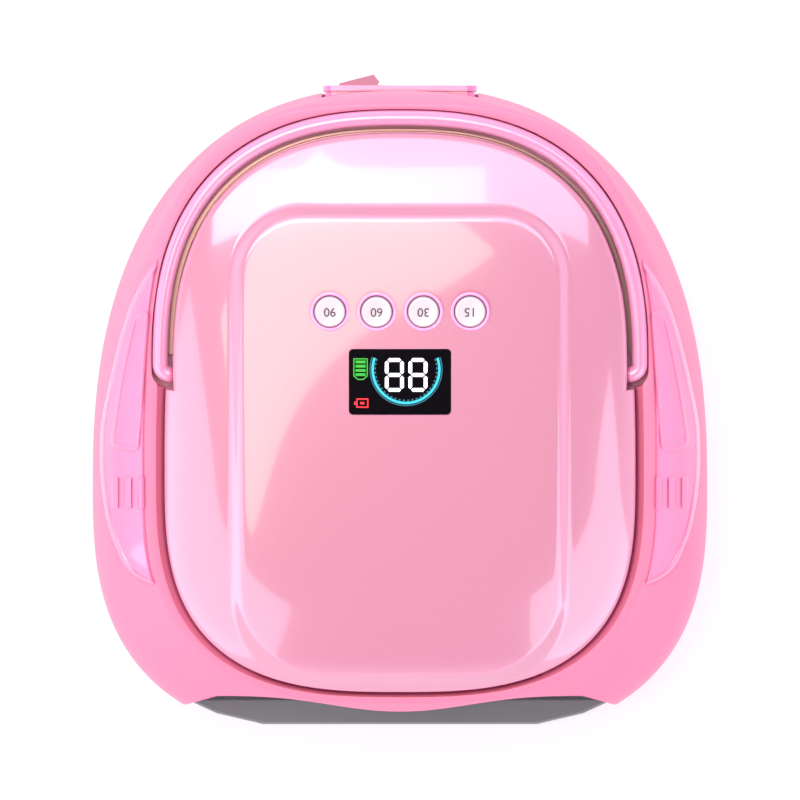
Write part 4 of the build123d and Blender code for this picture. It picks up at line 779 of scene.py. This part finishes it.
# profiles as (radius, height over the panel) in mm
CAP_PROFILE = [(0.02, -3.6), (5.4, -3.6), (5.4, 1.24), (5.1, 1.36), (4.6, 1.4), (4.4, 1.3), (0.02, 1.22)]
EDGE_PROFILE = [(5.42, -3.6), (6.6, -3.6), (6.6, -2.8), (5.8, -2.75), (5.8, 0.75), (5.72, 1.0),
                (5.55, 1.16), (5.42, 1.2)]
RING_PROFILE = [(6.1, -2.6), (6.1, 0.3), (6.25, 0.48), (6.6, 0.55), (6.95, 0.48), (7.2, 0.25),
                (7.2, -2.6)]
ring_glow = plain("light_ring_polycarbonate", "#F59AC6", "#FAA8D0", 0.8, 0.005, Roughness=0.2, IOR=1.58,
                  Emission_Strength=0.1)
ring_glow.node_tree.nodes["Principled BSDF"].inputs["Emission Color"].default_value = linear("#FF7CC8")
for number, u in zip(("90", "60", "30", "15"), KEY_U):
    top = float(cover_height(np.array(u), np.array(KEY_V)))
    body, node = f"key_{number}", f"key_{number}s"
    cap = ring_stack(f"cap_{number}", lathe(CAP_PROFILE, u, KEY_V, top), sharp=60.0)
    set_apart(cap, body, key_cap, "pale_key", node)
    edge = ring_stack(f"cap_shade_edge_{number}", lathe(EDGE_PROFILE, u, KEY_V, top), join_ends=True)
    set_apart(edge, body, key_edge, "pale_key", node)
    text = bpy.data.curves.new(f"digits_{number}", "FONT")
    text.body = number
    text.size = DIGIT_MM * MM
    text.align_x = "CENTER"
    text.align_y = "CENTER"
    text.extrude = DIGIT_THICK * MM
    text.offset = DIGIT_BOLD * MM
    letters = bpy.data.objects.new(f"digits_{number}", text)
    bpy.context.scene.collection.objects.link(letters)
    letters.location = Vector(on_deck(np.array(u), np.array(KEY_V), top + PRINT_H) * MM)
    turned_round = Matrix.Rotation(DECK_TILT, 3, "X") @ Matrix.Rotation(math.pi, 3, "Z")
    letters.rotation_euler = turned_round.to_euler()
    text.materials.append(key_print)
    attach(letters, body)
    turned = ring_stack(f"light_ring_{number}", lathe(RING_PROFILE, u, KEY_V, top), join_ends=True)
    set_apart(turned, "housing", ring_glow, "pink_ring", "key_rings")
print("keys at", [round(u, 2) for u in KEY_U], "mm")

# %% [markdown]
# The display is a smoked acrylic window, flush with the panel. Behind it light up two seven-segment
# digits, a cyan arc and two battery marks. Each is a thin flat piece just on the window, with a little
# light of its own.

# %% Display
smoked = plain("smoked_acrylic", "#050507", "#0A0A0D", 1.5, 0.003, Roughness=0.08, IOR=1.49,
               Coat_Weight=0.5)


def glowing(name, colour, strength):
    """A printed light: a colour that shines a little by itself."""
    material = plain(name, colour, colour, 1.0, 0.001, Roughness=0.4, Emission_Strength=strength)
    material.node_tree.nodes["Principled BSDF"].inputs["Emission Color"].default_value = linear(colour)
    return material


def flush(name, outline, lift, thick, material, *nodes):
    """A flat piece of the display that follows the cover's surface at a small lift."""
    outline = np.asarray(outline, float)
    heights = cover_height(outline[:, 0], outline[:, 1])
    rings = [on_deck(outline[:, 0], outline[:, 1], heights + h) for h in (lift - thick, lift)]
    set_apart(ring_stack(name, rings), "housing", material, "smoked_window", *nodes)


WINDOW_THICK, MARK_LIFT, MARK_THICK = 3.0, 0.12, 0.1
window_outline = rounded_box(0, DISPLAY_V, DISPLAY_WIDE, DISPLAY_DEEP, DISPLAY_CORNER)
flush("smoked_window", window_outline, 0.0, WINDOW_THICK, smoked, "display_window")
lit_white = glowing("segment_light_white", "#F4FBFF", 0.7)
lit_cyan = glowing("segment_light_cyan", "#22A8B4", 0.55)
dim_cyan = glowing("segment_light_dim_cyan", "#145A66", 0.3)
lit_green = glowing("segment_light_green", "#1E9A28", 0.5)
lit_red = glowing("segment_light_red", "#D81E2C", 0.5)
# the marks are laid out on the view from above, whose squares are 0.3722 mm wide
PX = 0.3722
VIEW_WIDE = 800
FACE_H = 18.0


def on_display(x, y):
    """A place on the view from above, brought onto the display."""
    middle = VIEW_WIDE / 2
    return (x - middle) * PX, ((middle - y) * PX + FACE_H * DECK_SIN) / DECK_COS


def mark(name, corners, material):
    flush(name, [on_display(x, y) for x, y in corners], MARK_LIFT, MARK_THICK, material)


def box_corners(x0, y0, x1, y1):
    return [(x0, y0), (x1, y0), (x1, y1), (x0, y1)]


def segment(x0, y0, x1, y1, half):
    """A bar with pointed ends between two places."""
    dx, dy = x1 - x0, y1 - y0
    length = math.hypot(dx, dy)
    dx, dy = dx / length * half, dy / length * half
    return [(x0, y0), (x0 + dx - dy, y0 + dy + dx), (x1 - dx - dy, y1 - dy + dx), (x1, y1),
            (x1 - dx + dy, y1 - dy - dx), (x0 + dx + dy, y0 + dy - dx)]


SEGMENT_HALF, SEGMENT_GAP = 1.8, 0.9
top_y, mid_y, low_y = 358.6, 373.4, 388.2
for digit, (left_x, right_x) in enumerate(((386.8, 402.0), (410.2, 425.4))):
    bars = [(left_x, y, right_x, y) for y in (top_y, mid_y, low_y)]
    bars += [(x, y0, x, y1) for y0, y1 in ((top_y, mid_y), (mid_y, low_y)) for x in (left_x, right_x)]
    for number, (x0, y0, x1, y1) in enumerate(bars):
        gap = SEGMENT_GAP / math.hypot(x1 - x0, y1 - y0)
        ends = (x0 + (x1 - x0) * gap, y0 + (y1 - y0) * gap, x1 - (x1 - x0) * gap, y1 - (y1 - y0) * gap)
        mark(f"digit_{digit}_{number}", segment(*ends, SEGMENT_HALF), lit_white)

ARC_X, ARC_Y = 406, 368
TICK_HALF_TURN = 0.035
arc_turns = np.linspace(math.radians(-20), math.radians(200), 41)


def arc_mark(name, outer, inner, turns, material):
    ring = [(ARC_X + outer * math.cos(a), ARC_Y + outer * math.sin(a)) for a in turns]
    ring += [(ARC_X + inner * math.cos(a), ARC_Y + inner * math.sin(a)) for a in turns[::-1]]
    mark(name, ring, material)


arc_mark("timer_arc", 34.4, 32.0, arc_turns, lit_cyan)
arc_mark("timer_rim", 36.3, 35.2, arc_turns, dim_cyan)
for tick, turn in enumerate(np.linspace(math.radians(-18), math.radians(198), 28)):
    arc_mark(f"timer_tick_{tick}", 31.6, 30.0, np.linspace(turn - TICK_HALF_TURN, turn + TICK_HALF_TURN, 3),
             dim_cyan)

FRAME_LINE = 1.1
BAR_TOP, BAR_PITCH, BAR_TALL = 359.2, 4.2, 2.7
battery = [(353.6, 357.0), (368.0, 357.0), (368.0, 374.6), (363.6, 378.4), (358.0, 378.4), (353.6, 374.6)]
for number, ((x0, y0), (x1, y1)) in enumerate(zip(battery, battery[1:] + battery[:1])):
    length = math.hypot(x1 - x0, y1 - y0)
    nx, ny = (y0 - y1) / length * FRAME_LINE, (x1 - x0) / length * FRAME_LINE
    mark(f"charge_frame_{number}", [(x0, y0), (x1, y1), (x1 + nx, y1 + ny), (x0 + nx, y0 + ny)], lit_green)
for row in range(4):
    bar_y = BAR_TOP + row * BAR_PITCH
    mark(f"charge_bar_{row}", box_corners(355.8, bar_y, 365.8, bar_y + BAR_TALL), lit_green)
# the empty battery's outline, its cap and its bar, as boxes
empty_battery = ((356.5, 396.7, 368.6, 398.0), (356.5, 404.7, 368.6, 406.0), (356.5, 398.0, 357.8, 404.7),
                 (367.3, 398.0, 368.6, 404.7), (354.4, 399.8, 356.5, 402.9), (360.5, 400.2, 364.6, 402.5))
for number, corners in enumerate(empty_battery):
    mark(f"empty_mark_{number}", box_corners(*corners), lit_red)
print("display marks set")

# %% [markdown]
# The switch at the back is a snap rocker in a bezel. Its mouldings are small, so a bevel on every edge
# is what makes them catch the light. The CAD solids are copied and their edges rounded.

# %% Rocker switch
def softened(node, name, material, slot, body, width_mm):
    """A copy of a CAD solid with rounded edges."""
    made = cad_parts[node].copy()
    made.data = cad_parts[node].data.copy()
    made.name = name
    made.parent = None
    bpy.context.scene.collection.objects.link(made)
    work = bmesh.new()
    work.from_mesh(made.data)
    bmesh.ops.remove_doubles(work, verts=work.verts, dist=MERGE_M)
    bmesh.ops.dissolve_limit(work, angle_limit=math.radians(2), verts=work.verts, edges=work.edges)
    work.to_mesh(made.data)
    work.free()
    bevel = made.modifiers.new("soft_edges", "BEVEL")
    bevel.width = width_mm * MM
    bevel.segments = 3
    bevel.limit_method = "ANGLE"
    bevel.angle_limit = math.radians(40)
    tidy(made, 30.0)
    set_apart(made, body, material, slot, node)


# painted shade: the rocker's pink is set darker than the casing's to stand for the shade it sits in
rocker_pink = pearl("rocker_pink_painted_shade", "#94486A", "#C0709A", 0.35, 0.5)
softened("rocker_paddle", "rocker_wedge", rocker_pink, "rocker_pink", "rocker", 0.35)
softened("rocker_housing", "rocker_bezel", pearl_rear, "rocker_pink", "housing", 0.3)
softened("rear_panel", "rear_bar", pearl_rear, "pink_casing", "housing", 0.7)

# %% [markdown]
# The lamp lies on a white paper sweep. Mirror-like and clear surfaces see it as plain white; the camera
# sees the lit paper lifted towards white, so that the lamp keeps a soft shadow on it. Light Path tells
# them apart.

# %% Floor
FLOOR_LIFT = 0.7
FLOOR_SIZE, FLOOR_Z = 6.0, -0.0002


def add_floor():
    bpy.ops.mesh.primitive_grid_add(x_subdivisions=8, y_subdivisions=8, size=FLOOR_SIZE,
                                    location=(0, 0, FLOOR_Z))
    made = bpy.context.object
    made.name = "sweep"
    material, shader = shaded("white_paper_sweep", Roughness=0.9)
    shader.inputs["Base Color"].default_value = linear("#FFFFFF")
    path = add_node(material, "ShaderNodeLightPath")
    white = add_node(material, "ShaderNodeEmission", Strength=1.0, Color=linear("#FFFFFF"))
    lifted = add_node(material, "ShaderNodeMath", {0: path.outputs["Is Camera Ray"]}, operation="MULTIPLY")
    lifted.inputs[1].default_value = FLOOR_LIFT
    rays = {0: path.outputs["Is Glossy Ray"], 1: path.outputs["Is Transmission Ray"]}
    mirror = add_node(material, "ShaderNodeMath", rays, operation="MAXIMUM")
    seen = add_node(material, "ShaderNodeMath", {0: lifted.outputs[0], 1: mirror.outputs[0]},
                    operation="MAXIMUM")
    mix = add_node(material, "ShaderNodeMixShader",
                   {0: seen.outputs[0], 1: shader.outputs[0], 2: white.outputs[0]})
    link(material, mix.outputs[0], material.node_tree.nodes["Material Output"], "Surface")
    made.data.materials.append(material)


add_floor()

# %% [markdown]
# Glossy lacquer shows its surroundings, so the lights are shapes as much as brightness. A warm box
# overhead ends in a diagonal across the panel. Two lavender boxes behind the lamp light the back of the
# dome, and a narrow white one among them is its crescent. A box at each side makes the pale bands on
# the flanks, and the surroundings are lavender near the horizon and dark overhead.

# %% Light
def softbox(name, place, target, size, power, colour, roll=0.0):
    """A rectangular area light aimed at a target and rolled about its axis by an angle in degrees."""
    data = bpy.data.lights.new(name, "AREA")
    data.shape = "RECTANGLE"
    data.size, data.size_y = size
    data.energy = power
    data.color = linear(colour)[:3]
    made = bpy.data.objects.new(name, data)
    bpy.context.scene.collection.objects.link(made)
    made.location = place
    aim = (Vector(target) - Vector(place)).to_track_quat("-Z", "Y")
    made.rotation_euler = (aim @ Quaternion((0, 0, 1), math.radians(roll))).to_euler()
    return made


def ceiling_box(name, place, size, turn, radiance, colour):
    """A level softbox that faces down, turned about the vertical, with its brightness set."""
    power = radiance * math.pi * size[0] * size[1]
    made = softbox(name, place, (place[0], place[1], 0.0), size, power, colour)
    made.rotation_euler = (0.0, 0.0, math.radians(turn))


ceiling_box("window_box", (-0.3545, 0.0877, 1.3), (1.0, 0.72), 43.0, 4.0, "#FFF0CC")
ceiling_box("back_box", (0.0, 0.61, 1.2), (2.4, 0.58), 0.0, 4.7, "#FADEFF")
ceiling_box("crescent_box", (-0.475, 0.45, 1.25), (1.45, 0.26), 0.0, 3.2, "#FFFFFF")
ceiling_box("back_low_box", (0.0, 1.35, 1.2), (2.4, 0.88), 0.0, 1.7, "#F8DCFF")
softbox("left_box", (-0.92, -0.66, 0.68), (0, -0.05, 0.07), (1.5, 1.05), 13.2, "#FBE2FA", 22.0)
softbox("right_box", (0.92, -0.78, 0.68), (0, -0.05, 0.07), (1.2, 1.05), 12.0, "#FBE2FA", -24.0)

HORIZON, ZENITH = 1.7, 0.05
LOW_SKY, HIGH_SKY = 0.2, 0.45
world = bpy.data.worlds.new("studio")
bpy.context.scene.world = world
world.use_nodes = True
background = world.node_tree.nodes["Background"]
direction = add_node(world, "ShaderNodeTexCoord").outputs["Generated"]
height = add_node(world, "ShaderNodeSeparateXYZ", {"Vector": direction}).outputs["Z"]
bright = add_node(world, "ShaderNodeMapRange", {"Value": height}, From_Min=LOW_SKY, From_Max=HIGH_SKY,
                  To_Min=HORIZON, To_Max=ZENITH)
background.inputs["Color"].default_value = linear("#FBDDFB")
link(world, bright.outputs["Result"], background, "Strength")
paper = add_node(world, "ShaderNodeBackground", Strength=1.0, Color=linear("#FFFFFF"))
to_camera = add_node(world, "ShaderNodeLightPath").outputs["Is Camera Ray"]
seen = add_node(world, "ShaderNodeMixShader", {0: to_camera, 1: background.outputs[0], 2: paper.outputs[0]})
link(world, seen.outputs[0], world.node_tree.nodes["World Output"], "Surface")

# %% [markdown]
# The photograph looks straight down from far away, so the camera has a long lens. Its frame is 298 mm
# wide at the height of the casing's widest part.

# %% Camera
CAMERA_Z, FRAME_Z = 6.0, 0.06
SENSOR_MM, FAR_CLIP = 36.0, 20.0
FRAME_WIDE = VIEW_WIDE * PX * MM
lens = bpy.data.cameras.new("overhead")
lens.sensor_width = SENSOR_MM
lens.lens = SENSOR_MM * (CAMERA_Z - FRAME_Z) / FRAME_WIDE
lens.clip_end = FAR_CLIP
camera = bpy.data.objects.new("overhead", lens)
bpy.context.scene.collection.objects.link(camera)
camera.location = (0.0, 0.0, CAMERA_Z)
bpy.context.scene.camera = camera
bpy.context.scene.view_settings.view_transform = "Standard"
print("lens", round(lens.lens), "mm")
